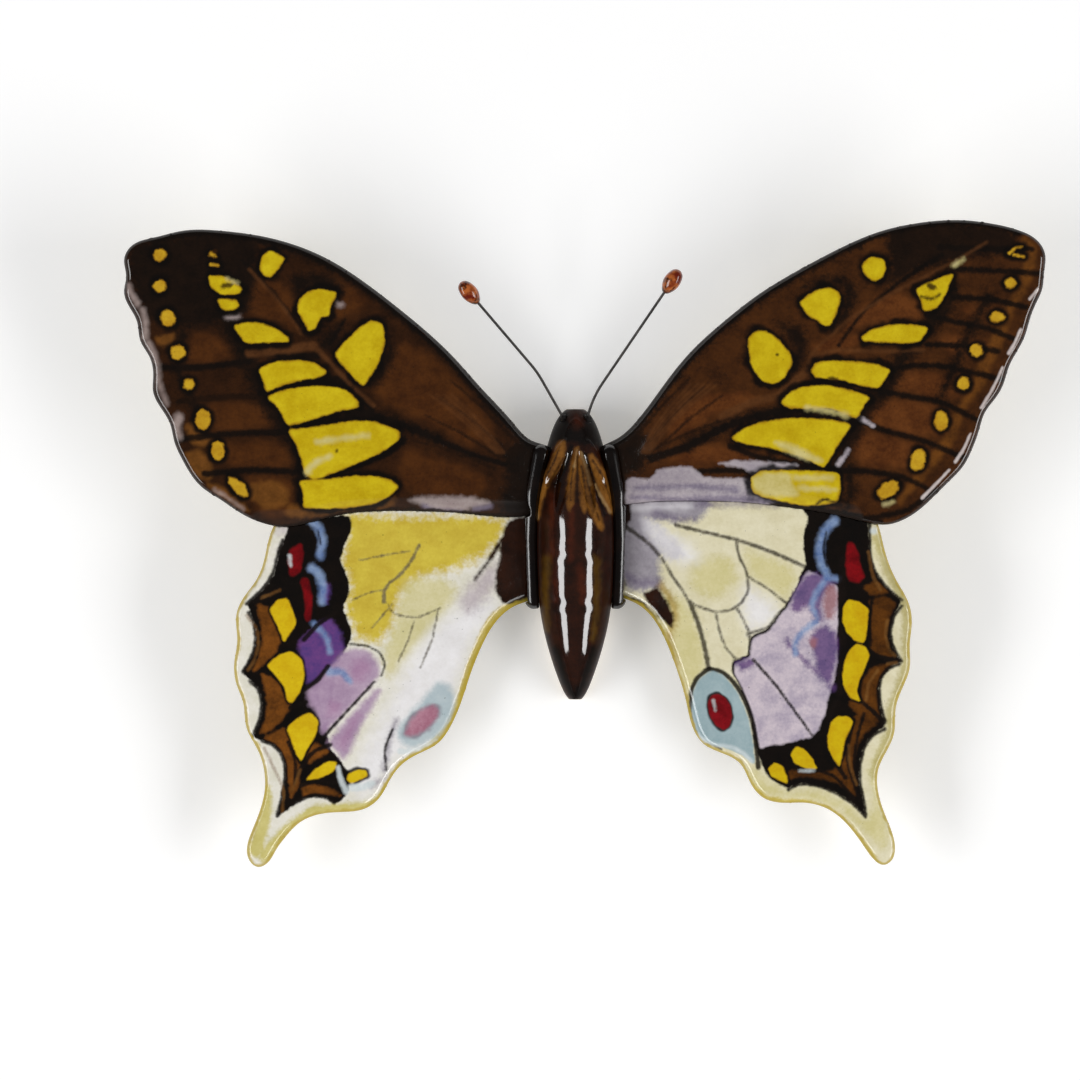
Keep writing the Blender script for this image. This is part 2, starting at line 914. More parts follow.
    def shape_relief(self, places: np.ndarray, rim: np.ndarray, layers: Dict[Paint, np.ndarray]) -> None:
        """Press the relief into the upper face: fields sunk, patches left proud, lines scratched in.

        Args:
            places: the vertices, in millimetres, which are moved.
            rim: how far each vertex lies inside the rim.
            layers: for each paint, how far each vertex lies from it.
        """
        sink = self.field_sink_mm * step_between(rim, *self.field_slope_mm)
        for kind in self.raised:
            sink = sink * step_between(layers[kind], *self.raised_slope_mm)
        for kind in self.dished:
            sink = sink + self.dish_mm * (1 - step_between(layers[kind], *self.dish_slope_mm))
        for kind in self.grooves:
            sink = sink + self.groove_mm * (1 - step_between(layers[kind], *self.groove_slope_mm))
        swell = self.swell_mm * hand_swell(places, self.waves)
        sink = sink + swell * step_between(rim, *self.swell_slope_mm)
        for roll in self.rolls:
            gap, _, _ = nearest_on(places[:, :2], PICTURE.plan(roll.line), False)
            sink = sink + roll.drop_mm * np.clip(1 - gap / roll.reach_mm, 0, 1) ** 2
        facing = step_between(self.upper, *self.facing_slope) * self.free
        places[:, 2] -= sink * facing

    def material(self) -> bpy.types.Material:
        """The wing's painting under its glaze.

        Returns:
            The material.
        """
        material, graph = new_material(self.name)
        colour = self.painting(graph)
        wobble = (graph.noise(grain_mm=1.6) - 0.5) * 2.0
        inward = graph.layer("rim") + wobble * self.edge_wobble_mm
        edge = 1.0 - inward.between(self.edge_mm * self.edge_core, self.edge_mm)
        if Paint.BARE in self.paints:
            edge = edge * graph.layer(Paint.BARE.value).between(*self.bare_slope_mm)
        colour = graph.blend(edge * self.edge_cover, colour, paint(self.edge))
        share = graph.noise(grain_mm=3.0, detail=3.0)
        below = graph.blend(share, paint(self.underside[0]), paint(self.underside[1]))
        upper = graph.layer("upper") + wobble * self.underside_wobble
        painted = upper.between(*self.underside_slope)
        dull = graph.layer("rim").between(*self.satin_slope_mm) * self.satin
        if Paint.SEAM in self.paints:
            seam = 1.0 - graph.layer(Paint.SEAM.value).between(-self.seam_soft_mm, self.seam_soft_mm)
            dull = (dull + seam).clamped()
        flat = graph.layer("rim").between(*self.flat_slope_mm)
        dull = (dull + (1.0 - flat) * self.steep_dullness).clamped()
        GlazeFinish().surface(graph, graph.blend(painted, below, colour), dull, flat)
        return material


# The wings' painting
#
# The numbers of a brush are its cover, and the softness and the wobble of its edge in
# millimetres. Strokes start with their width, in pixels.

FORE_BRUSHES: Dict[Paint, Brushwork] = {
    Paint.WARM: Brushwork("46220c", "72401a", 0.85, 0.8, 0.9),
    Paint.SOOT: Brushwork("0e0906", "1c110a", 0.93, 0.9, 1.0),
    Paint.MARGIN: Brushwork("4a2a0e", "7c4a18", 0.85, 0.5, 0.5),
    Paint.STREAK: Brushwork("140b06", "241409", 0.75, 0.25, 0.2),
    Paint.LINE: Brushwork("0c0806", "160e09", 0.94, 0.3, 0.3),
    Paint.RIDGE: Brushwork("4a2a12", "6c4222", 0.7, 0.35, 0.25),
    Paint.MAUVE: Brushwork("9c929c", "c4babe", 0.95, 0.3, 0.35),
    Paint.GREY: Brushwork("645a70", "847a90", 0.8, 0.5, 0.4),
    Paint.GLINT: Brushwork("c8b8b4", "f0e6e2", 0.85, 0.16, 0.12),
    Paint.PATCH: Brushwork(
        "c0a006", "dcc41c", 1.0, 0.18, 0.2, border="a87c10", border_mm=0.4,
        halo="0c0806", halo_mm=0.75, halo_soft_mm=0.45, halo_drift_mm=1.0,
    ),
    Paint.DAB: Brushwork(
        "b48418", "d8b02a", 1.0, 0.2, 0.35, border="7a4c10", border_mm=0.3,
        halo="0c0806", halo_mm=0.65, halo_soft_mm=0.4, halo_drift_mm=0.5,
    ),
    Paint.HOLE: Brushwork("1a0e06", "3a2008", 0.9, 0.25, 0.3),
    Paint.PALE: Brushwork("cabc70", "dcd09a", 0.8, 0.5, 0.4),
}
LEFT_FORE_BRUSHES: Dict[Paint, Brushwork] = {
    **FORE_BRUSHES,
    Paint.WARM: Brushwork("3c1e0a", "5e3412", 0.75, 0.9, 0.9),
    Paint.MARGIN: Brushwork("5c3812", "845220", 0.85, 0.5, 0.5),
    Paint.MAUVE: Brushwork("a08e8c", "b8aaa6", 0.88, 0.6, 0.5),
    Paint.GLINT: Brushwork("8a7872", "bcaaa4", 0.8, 0.5, 0.35),
}
RIGHT_COSTA = (
    (600, 447), (617, 438), (637, 420), (667, 380), (690, 352), (725, 320), (760, 293), (800, 269),
    (840, 248), (880, 231), (920, 223), (955, 220), (990, 224),
)
LEFT_COSTA = (
    (549, 446), (532, 440), (514, 423), (480, 386), (455, 358), (430, 334), (400, 309), (366, 283),
    (330, 260), (298, 246), (260, 236), (220, 231), (185, 231), (155, 238),
)

RIGHT_FOREWING = Wing(
    name="right_forewing_painted", node="right_forewing", slot="forewing_glaze", side=1,
    outline_px=[
        (588, 462), (600, 447), (617, 438), (637, 420), (667, 380), (690, 352), (725, 320),
        (760, 293), (800, 269), (840, 248), (880, 231.5), (920, 223), (955, 220.5), (990, 224),
        (1018, 231), (1036, 241), (1044, 255), (1043, 273), (1041, 290), (1035, 304),
        (1029, 319), (1024, 336), (1016, 352), (1008, 367), (1003, 383), (995, 398), (984, 413),
        (978, 431), (971, 450), (962, 467), (949, 481), (935, 495), (920, 509), (903, 520),
        (886, 525), (868, 523), (840, 516), (800, 509), (750, 503), (690, 501), (640, 503),
        (605, 503), (588, 490), (583, 476),
    ],
    ground=("2c1608", "502c10"), edge="1c1008", edge_mm=0.55, brushes=FORE_BRUSHES, streak_turn=35.0,
    grooves=(Paint.LINE,), raised=(Paint.RIDGE, Paint.PATCH),
    rolls=(Roll(((600, 510), (690, 501), (750, 503), (800, 509), (840, 516)), reach_mm=4.0, drop_mm=0.12),),
    paints={
        Paint.BARE: patches([(622, 488), (640, 494), (700, 492), (768, 494), (768, 520), (622, 520)]),
        Paint.SEAM: strokes(
            22, [(592, 502), (640, 500), (690, 498), (750, 500), (800, 506), (850, 516)],
        ),
        Paint.WARM: patches(
            [(892, 376), (920, 372), (960, 380), (966, 392), (940, 398), (905, 392), (886, 388)],
            [(872, 402), (900, 400), (940, 408), (948, 418), (946, 436), (915, 436), (880, 428),
             (866, 418)],
            [(862, 432), (890, 438), (914, 446), (908, 466), (880, 468), (858, 462), (852, 446)],
            [(905, 296), (915, 305), (930, 318), (900, 324), (870, 322), (850, 330), (838, 340),
             (845, 322), (865, 305), (890, 292)],
            [(808, 346), (830, 336), (860, 334), (856, 350), (820, 356)],
            [(668, 458), (700, 444), (740, 448), (762, 456), (720, 464), (684, 464)],
            [(668, 420), (700, 396), (740, 392), (765, 400), (720, 412), (690, 430), (670, 440)],
            [(935, 338), (960, 336), (990, 344), (985, 358), (950, 356)],
            [(960, 308), (990, 306), (1000, 318), (975, 322)],
        ),
        Paint.SOOT: (
            *strokes(15, RIGHT_COSTA, end=12),
            *patches([(888, 228), (925, 222), (990, 224), (1024, 232), (1012, 242), (985, 246),
                      (950, 256), (925, 268), (898, 282), (886, 290), (890, 262), (884, 246)],
                     [(776, 324), (800, 326), (808, 346), (802, 366), (792, 382), (786, 366),
                      (796, 354), (788, 340)],
                     [(796, 290), (815, 278), (842, 276), (856, 288), (852, 310), (842, 330),
                      (834, 330), (842, 306), (842, 288), (816, 288)],
                     [(604, 444), (636, 424), (650, 440), (652, 456), (640, 472), (628, 474),
                      (628, 505), (596, 510)],
                     [(925, 222), (1010, 228), (1018, 244), (1004, 256), (972, 258), (940, 268),
                      (925, 268)]),
            *strokes(22, [(948, 296), (930, 322), (908, 350), (892, 368)], end=14),
            *strokes(16, [(894, 376), (884, 392), (868, 408), (858, 424)],
                     [(856, 428), (846, 446), (838, 466)], end=13),
            *strokes(12, [(848, 470), (850, 490), (846, 508)],
                     [(986, 300), (970, 330), (956, 360), (940, 396)], end=9),
            *strokes(13, [(690, 444), (715, 430), (750, 417), (790, 410), (840, 412)], end=9),
        ),
        Paint.MARGIN: patches(
            [(1022, 236), (1034, 246), (1034, 262), (1028, 285), (1020, 300), (1012, 312),
             (1006, 330), (1000, 348), (990, 365), (984, 385), (972, 398), (962, 412), (958, 430),
             (950, 446), (938, 462), (926, 476), (908, 495), (900, 505), (896, 500), (905, 486),
             (920, 470), (932, 452), (944, 436), (950, 420), (958, 404), (972, 388), (974, 368),
             (984, 350), (994, 330), (1004, 312), (1010, 296), (1018, 280), (1022, 262), (1018, 245)],
        ),
        Paint.STREAK: strokes(
            4, [(640, 432), (665, 402), (690, 378)], [(650, 440), (680, 408), (705, 386)],
            [(662, 445), (690, 418), (722, 396)], [(648, 452), (690, 432), (730, 418)], end=1.5,
        ),
        Paint.LINE: (
            *strokes(16, [*RIGHT_COSTA, (1018, 231)], end=10),
            *strokes(9, [(652, 458), (690, 446), (730, 424), (775, 412), (815, 410), (850, 418)],
                     end=6),
            *strokes(7, [(800, 384), (835, 381), (880, 386)],
                     [(730, 446), (760, 458), (800, 465), (835, 468)],
                     [(840, 470), (870, 472), (900, 476), (928, 490)],
                     [(752, 471), (720, 470), (696, 472)], end=5),
            *strokes(6, [(888, 371), (910, 366), (940, 366), (1000, 380)],
                     [(880, 392), (940, 402), (975, 420)],
                     [(858, 420), (880, 430), (920, 440), (962, 458)],
                     [(925, 316), (960, 324), (990, 330), (1012, 340)],
                     [(955, 270), (1000, 272), (1036, 274)], [(950, 298), (990, 300), (1024, 308)],
                     [(938, 248), (980, 250), (1030, 250)], [(925, 345), (960, 346), (996, 352)]),
            *strokes(3.5, [(838, 346), (862, 312), (905, 278), (940, 256)], end=5),
            *strokes(7, [(780, 508), (810, 509), (850, 514), (880, 522)],
                     [(860, 520), (905, 512), (935, 490)], end=5),
        ),
        Paint.RIDGE: (
            *strokes(7, [(722, 416), (752, 402), (778, 396), (792, 384), (806, 372)], end=9),
            *strokes(3, [(812, 356), (836, 350), (880, 352), (922, 350)]),
            *strokes(3.5, [(806, 372), (812, 352), (850, 318), (905, 286), (955, 262), (985, 243)],
                     end=2),
            *combed(2.4, 13.0, 5, [(646, 452), (662, 426), (682, 404), (704, 384)]),
        ),
        Paint.MAUVE: (
            *patches([(626, 477), (650, 479), (660, 468), (692, 466), (704, 478), (752, 478),
                      (756, 492), (780, 500), (770, 516), (700, 516), (640, 516), (626, 516)],
                     [(716, 464), (735, 460), (772, 462), (800, 465), (790, 470), (756, 478),
                      (744, 468)]),
            *strokes(5, [(850, 414), (862, 420), (872, 426)], [(838, 464), (844, 456), (848, 450)],
                     end=3),
            *strokes(3, [(832, 410), (846, 414)]),
        ),
        Paint.GREY: (
            *strokes(8, [(690, 500), (735, 499), (784, 502)], end=5),
            *strokes(4, [(632, 497), (670, 499), (716, 500)], [(748, 480), (750, 498)]),
            *strokes(4, [(636, 488), (690, 486), (736, 490)], end=7),
        ),
        Paint.PATCH: patches(
            [(860, 266), (869, 257), (882, 259), (886, 268), (881, 279), (872, 282), (865, 277)],
            [(799, 303), (806, 296), (815, 291), (830, 288), (838, 292), (840, 300), (836, 313),
             (831, 325), (824, 327), (817, 321), (807, 316)],
            [(747, 340), (756, 330), (768, 332), (780, 341), (790, 354), (792, 363), (785, 377),
             (774, 385), (761, 381), (751, 366)],
            [(914, 290), (930, 282), (953, 273), (948, 286), (943, 298), (934, 310), (922, 312),
             (920, 302)],
            [(860, 338), (870, 330), (890, 325), (912, 325), (927, 328), (924, 335), (918, 342),
             (905, 344), (880, 343), (863, 342)],
            [(810, 371), (815, 363), (825, 361), (850, 361), (875, 364), (890, 370), (884, 380),
             (878, 389), (864, 387), (840, 380), (815, 378)],
            [(780, 402), (790, 392), (802, 387), (820, 385), (842, 388), (870, 397), (863, 406),
             (857, 419), (846, 416), (830, 409), (800, 409), (787, 408)],
            [(730, 438), (745, 428), (760, 422), (780, 419), (805, 418), (835, 420), (851, 425),
             (844, 436), (836, 447), (830, 459), (824, 468), (812, 463), (800, 456), (765, 447),
             (743, 444)],
            [(750, 478), (760, 471), (780, 470), (820, 471), (839, 473), (840, 490), (837, 502),
             (822, 505), (805, 506), (788, 503), (765, 498), (752, 492)],
        ),
        Paint.DAB: (
            *dot(1009, 284, 6), *dot(996, 318, 8, 6), *dot(975, 351, 7), *dot(962, 384, 7),
            *dot(940, 421, 7, 11), *dot(917, 460, 8, 12, 12), *dot(887, 490, 8, 13, 55),
            *strokes(3.5, [(1008, 254), (1014, 248), (1020, 248)], [(1012, 256), (1022, 258)], end=2.5),
        ),
        Paint.HOLE: (
            *dot(930, 287, 5, 3.5, 30),
            *strokes(3, [(920, 298), (930, 300), (938, 296)]),
            *strokes(3, [(816, 504), (824, 499), (834, 502)], [(829, 378), (836, 380)]),
            *dot(777, 355, 1.5),
        ),
        Paint.PALE: (
            *patches([(752, 478), (766, 473), (790, 474), (792, 486), (800, 496), (770, 497),
                      (755, 491)],
                     [(772, 441), (790, 444), (808, 452), (824, 462), (812, 462), (790, 454)]),
            *strokes(4, [(806, 408), (830, 411), (846, 416)], end=5),
            *strokes(5, [(796, 478), (832, 478)], [(800, 488), (834, 490)], end=3),
            *strokes(4, [(953, 266), (962, 260)], end=2.5),
            *strokes(2.5, [(884, 505), (892, 502)]),
        ),
        Paint.GLINT: strokes(
            2.2, [(1036, 290), (1028, 300)], [(1019, 330), (1013, 344), (1007, 354)],
            [(1001, 368), (993, 386), (980, 408)], [(969, 434), (962, 450), (954, 462)],
            [(948, 470), (935, 484), (921, 498)], end=3.4,
        ),
    },
)

LEFT_FOREWING = Wing(
    name="left_forewing_painted", node="left_forewing", slot="forewing_glaze", side=-1,
    outline_px=[
        (566, 476), (561, 459), (549, 446), (532, 440), (514, 423), (480, 386), (455, 358),
        (430, 334), (400, 309), (366, 283), (330, 260), (298, 246), (260, 236), (220, 231),
        (185, 231), (155, 238), (133, 246), (125, 260), (127, 277), (125, 294), (131, 309),
        (138, 323), (141, 341), (150, 357), (154, 375), (154, 393), (162, 409), (171, 425),
        (175, 442), (183, 460), (191, 474), (203, 488), (221, 500), (242, 514), (262, 523),
        (284, 527), (305, 524), (340, 515), (400, 511), (460, 513), (505, 517), (540, 512),
        (560, 497),
    ],
    ground=("201006", "3a1f0c"), edge="1c1008", edge_mm=0.55, brushes=LEFT_FORE_BRUSHES, streak_turn=-35.0,
    grooves=(Paint.LINE,), raised=(Paint.RIDGE, Paint.PATCH),
    rolls=(Roll(((300, 525), (340, 515), (400, 511), (460, 513), (505, 517)), reach_mm=3.4, drop_mm=0.1),),
    paints={
        Paint.SEAM: strokes(
            22, [(262, 522), (305, 521), (340, 513), (400, 509), (460, 511), (550, 515)],
        ),
        Paint.WARM: patches(
            [(188, 338), (210, 334), (228, 345), (232, 358), (210, 366), (188, 362)],
            [(205, 406), (235, 402), (268, 406), (276, 424), (240, 432), (212, 432)],
            [(222, 444), (262, 440), (286, 446), (294, 466), (262, 469), (232, 468)],
            [(240, 478), (280, 474), (296, 486), (296, 514), (270, 520), (250, 504)],
            [(404, 446), (450, 462), (490, 478), (480, 496), (420, 496), (398, 480)],
            [(400, 340), (440, 360), (478, 404), (498, 440), (470, 448), (430, 424), (392, 408),
             (372, 392), (386, 366)],
            [(262, 280), (290, 290), (296, 320), (304, 334), (276, 322), (250, 316), (246, 296)],
            [(330, 278), (372, 300), (352, 316), (330, 322), (342, 300)],
        ),
        Paint.SOOT: (
            *strokes(18, LEFT_COSTA, end=16),
            *patches([(128, 250), (160, 238), (220, 232), (262, 238), (258, 262), (256, 290),
                      (250, 312), (228, 322), (200, 330), (176, 326), (150, 322), (136, 300),
                      (130, 272)],
                     [(566, 440), (540, 438), (512, 440), (500, 452), (506, 476), (500, 500),
                      (504, 520), (566, 520)],
                     [(290, 276), (326, 274), (346, 288), (340, 300), (332, 290), (308, 288),
                      (296, 300)],
                     [(386, 326), (396, 342), (392, 366), (378, 386), (366, 388), (378, 366),
                      (386, 344)],
                     [(330, 330), (344, 320), (340, 344), (326, 352), (318, 342)]),
            *strokes(18, [(222, 306), (236, 340), (252, 368), (262, 396), (282, 426)], end=14),
            *strokes(13, [(282, 426), (298, 452), (302, 478), (300, 512)], end=9),
            *strokes(12, [(184, 336), (178, 372), (196, 404), (206, 436)],
                     [(362, 412), (400, 424), (440, 440)], end=8),
        ),
        Paint.MARGIN: (
            *patches([(186, 452), (203, 450), (214, 466), (212, 480), (200, 478), (190, 466)],
                     [(206, 482), (222, 486), (240, 500), (252, 512), (238, 508), (220, 496)],
                     [(156, 338), (176, 334), (174, 344), (162, 348)],
                     [(186, 425), (196, 424), (203, 436), (216, 440), (206, 448), (192, 444)],
                     [(250, 484), (276, 480), (290, 490), (288, 506), (268, 510), (252, 500)]),
            *strokes(13, [(292, 511), (330, 511), (370, 508), (392, 500)], end=9),
        ),
        Paint.STREAK: (
            *strokes(4, [(515, 440), (480, 405), (450, 380)], [(505, 448), (470, 418), (440, 398)],
                     [(498, 456), (460, 432), (425, 415)], [(495, 468), (450, 450), (410, 440)],
                     end=1.5),
            *strokes(6, [(262, 366), (220, 366), (190, 370)], [(262, 396), (220, 398), (180, 402)]),
        ),
        Paint.LINE: (
            *strokes(17, LEFT_COSTA, end=14),
            *strokes(8, [(362, 412), (400, 424), (430, 436), (475, 456), (505, 464)], end=5),
            *strokes(7.5, [(262, 394), (300, 382), (340, 379), (358, 392), (372, 410)],
                     [(285, 428), (320, 420), (365, 414), (400, 424)],
                     [(302, 474), (340, 472), (390, 452), (404, 440)]),
            *strokes(6.5, [(178, 440), (230, 434), (288, 432)], [(206, 474), (250, 470), (300, 472)],
                     [(240, 350), (290, 356), (318, 356)], [(160, 368), (200, 368), (250, 362)]),
            *strokes(3.5, [(244, 262), (275, 294), (300, 326)], [(330, 345), (345, 320)]),
            *strokes(4, [(424, 513), (460, 516), (505, 516)]),
        ),
        Paint.RIDGE: (
            *strokes(8, [(250, 354), (285, 350), (314, 346)], end=9),
            *strokes(5, [(314, 346), (330, 362), (350, 384), (374, 406)], end=3.5),
            *strokes(2.6, [(250, 270), (280, 302), (302, 334)]),
            *combed(2.2, 11.0, 4, [(500, 452), (482, 432), (462, 412), (440, 394)]),
        ),
        Paint.MAUVE: (
            *patches([(408, 500), (420, 497), (470, 497), (492, 503), (478, 508), (450, 512),
                      (430, 510), (422, 504)]),
            *strokes(3, [(228, 318), (240, 318)], [(338, 304), (342, 306)]),
        ),
        Paint.GREY: strokes(4, [(424, 506), (436, 511), (460, 512)], [(474, 509), (490, 506)]),
        Paint.PATCH: patches(
            [(263, 256), (271, 251), (286, 258), (279, 270), (272, 278), (265, 277), (260, 270)],
            [(299, 301), (308, 292), (322, 289), (337, 293), (336, 298), (331, 307), (330, 316),
             (321, 318), (316, 329), (309, 332), (304, 322), (298, 312)],
            [(334, 355), (344, 343), (360, 328), (371, 320), (384, 325), (385, 345), (378, 365),
             (370, 378), (363, 387), (350, 374)],
            [(209, 276), (225, 277), (244, 289), (240, 295), (222, 296), (212, 288)],
            [(217, 299), (237, 300), (241, 306), (235, 311), (223, 311)],
            [(234, 326), (245, 323), (260, 323), (274, 328), (289, 337), (290, 342), (280, 343),
             (246, 344), (240, 336)],
            [(259, 369), (275, 362), (300, 360), (316, 363), (328, 372), (323, 377), (300, 381),
             (280, 387), (267, 393), (264, 382)],
            [(267, 397), (285, 390), (305, 387), (328, 386), (347, 390), (359, 401), (359, 408),
             (340, 411), (318, 418), (300, 424), (288, 426), (280, 410)],
            [(288, 430), (310, 428), (352, 421), (372, 421), (385, 425), (400, 431), (400, 438),
             (390, 447), (375, 456), (340, 471), (314, 481), (305, 474), (302, 460), (297, 446)],
            [(299, 480), (330, 479), (350, 476), (375, 476), (392, 480), (399, 487), (390, 496),
             (375, 504), (350, 508), (320, 509), (303, 508), (304, 495)],
        ),
        Paint.DAB: (
            *dot(161, 256, 7), *dot(161, 287, 7), *dot(169, 319, 8, 9), *dot(179, 353, 8),
            *dot(190, 385, 6), *dot(204, 420, 8, 11), *dot(219, 451, 7, 10), *dot(239, 487, 6, 14, -45),
            *strokes(5, [(212, 255), (217, 258)], end=3.5),
            *strokes(3, [(212, 265), (219, 266)]),
        ),
        Paint.HOLE: (*dot(228, 286, 7, 2.6, -8), *dot(216, 252, 2.5, 2), *dot(337, 451, 1.4)),
        Paint.PALE: (
            *strokes(6, [(318, 442), (345, 438), (368, 436)], [(308, 472), (316, 462), (330, 456)],
                     end=4),
            *strokes(2.4, [(228, 280), (238, 284)], end=1.6),
        ),
        Paint.GLINT: (
            *strokes(4, [(130, 286), (133, 296), (139, 304)], [(144, 310), (147, 322), (147, 338)],
                     end=6),
            *strokes(6, [(150, 344), (158, 362), (160, 384), (168, 404)], end=4),
            *strokes(9, [(180, 418), (178, 428), (181, 438)], end=5),
            *strokes(3, [(216, 490), (230, 499), (244, 509)], end=2),
        ),
    },
)

HIND_BRUSHES: Dict[Paint, Brushwork] = {
    Paint.SUN: Brushwork("c8aa14", "dcc62c", 0.94, 1.2, 1.4),
    Paint.WASH: Brushwork("d0c680", "e0d69e", 0.8, 1.1, 0.9),
    Paint.MARGIN: Brushwork("aca060", "c4b87a", 0.8, 0.5, 0.5),
    Paint.GLINT: Brushwork("ebe8e9", "faf8fa", 0.88, 1.8, 1.0),
    Paint.STREAK: Brushwork("b49c18", "d0b82a", 0.85, 0.3, 0.3),
    Paint.MAUVE: Brushwork("827c8c", "a49eac", 0.9, 0.8, 0.9),
    Paint.SOOT: Brushwork("9a7c34", "c0a24a", 0.75, 0.6, 0.6),
    Paint.PALE: Brushwork("ccc8d0", "e6e2e4", 0.75, 0.7, 0.6),
    Paint.GREY: Brushwork("6a6078", "84788c", 0.8, 0.8, 0.5),
    Paint.ROOT: Brushwork("120804", "34180a", 1.0, 0.35, 0.3),
    Paint.VEIN: Brushwork("1a1614", "40382e", 0.88, 0.24, 0.2),
    Paint.BAND: Brushwork("0a0807", "150e0a", 1.0, 0.2, 0.3),
    Paint.WARM: Brushwork("341c08", "6c3e10", 0.95, 0.3, 0.4),
    Paint.LILAC: Brushwork("a89cb0", "e0d2d8", 1.0, 0.25, 0.3),
    Paint.VIOLET: Brushwork("46346c", "6c4682", 0.88, 0.6, 0.6),
    Paint.ROSE: Brushwork("94605e", "a87078", 0.8, 0.5, 0.5),
    Paint.BLUE: Brushwork("4e6ca6", "a0b6d6", 0.86, 0.45, 0.35),
    Paint.LINE: Brushwork("0c0908", "1a120e", 0.95, 0.2, 0.16),
    Paint.PATCH: Brushwork(
        "c89e08", "dcc214", 1.0, 0.16, 0.16, border="a87c10", border_mm=0.25,
        halo="0e0b08", halo_mm=0.35, halo_soft_mm=0.25, halo_drift_mm=0.4,
    ),
    Paint.RED: Brushwork("4e040a", "8e0c14", 0.96, 0.25, 0.2),
    Paint.EYE: Brushwork("94acb2", "acc0c4", 1.0, 0.2, 0.15),
    Paint.PUPIL: Brushwork(
        "5c060c", "94121c", 1.0, 0.2, 0.14,
        halo="120a0a", halo_mm=0.28, halo_soft_mm=0.2, halo_drift_mm=0.3,
    ),
    Paint.HOLE: Brushwork("ccd8da", "e8eeee", 0.8, 0.3, 0.2),
    Paint.RIDGE: Brushwork("6e4418", "8e6434", 0.6, 0.25, 0.2),
}
SHEEN_BRUSHES: Dict[Paint, Brushwork] = {
    **HIND_BRUSHES,
    Paint.MARGIN: Brushwork("c4b64c", "d6ca70", 0.85, 0.5, 0.5),
    Paint.WARM: Brushwork("4e2c0c", "8a5018", 0.95, 0.3, 0.4),
    Paint.MAUVE: Brushwork("b0a2a8", "ccc0c4", 0.85, 1.4, 0.9),
    Paint.LILAC: Brushwork("a486a6", "bea4bc", 0.95, 0.6, 0.4),
    Paint.VIOLET: Brushwork("4c3a7e", "78488a", 0.92, 0.5, 0.5),
    Paint.ROSE: Brushwork("a2749a", "b48cac", 0.7, 0.8, 0.5),
    Paint.PATCH: Brushwork(
        "d0a60a", "e4c81a", 1.0, 0.18, 0.16, border="a87c10", border_mm=0.25,
        halo="0e0b08", halo_mm=0.35, halo_soft_mm=0.25, halo_drift_mm=0.4,
    ),
    Paint.EYE: Brushwork("a8bcc4", "bccace", 0.9, 0.7, 0.4),
    Paint.PUPIL: Brushwork("a45e76", "c690a2", 0.9, 0.5, 0.4, halo="8c8c96", halo_mm=0.3, halo_soft_mm=0.4),
    Paint.VEIN: Brushwork("3a342a", "7c7464", 0.8, 0.2, 0.25),
}

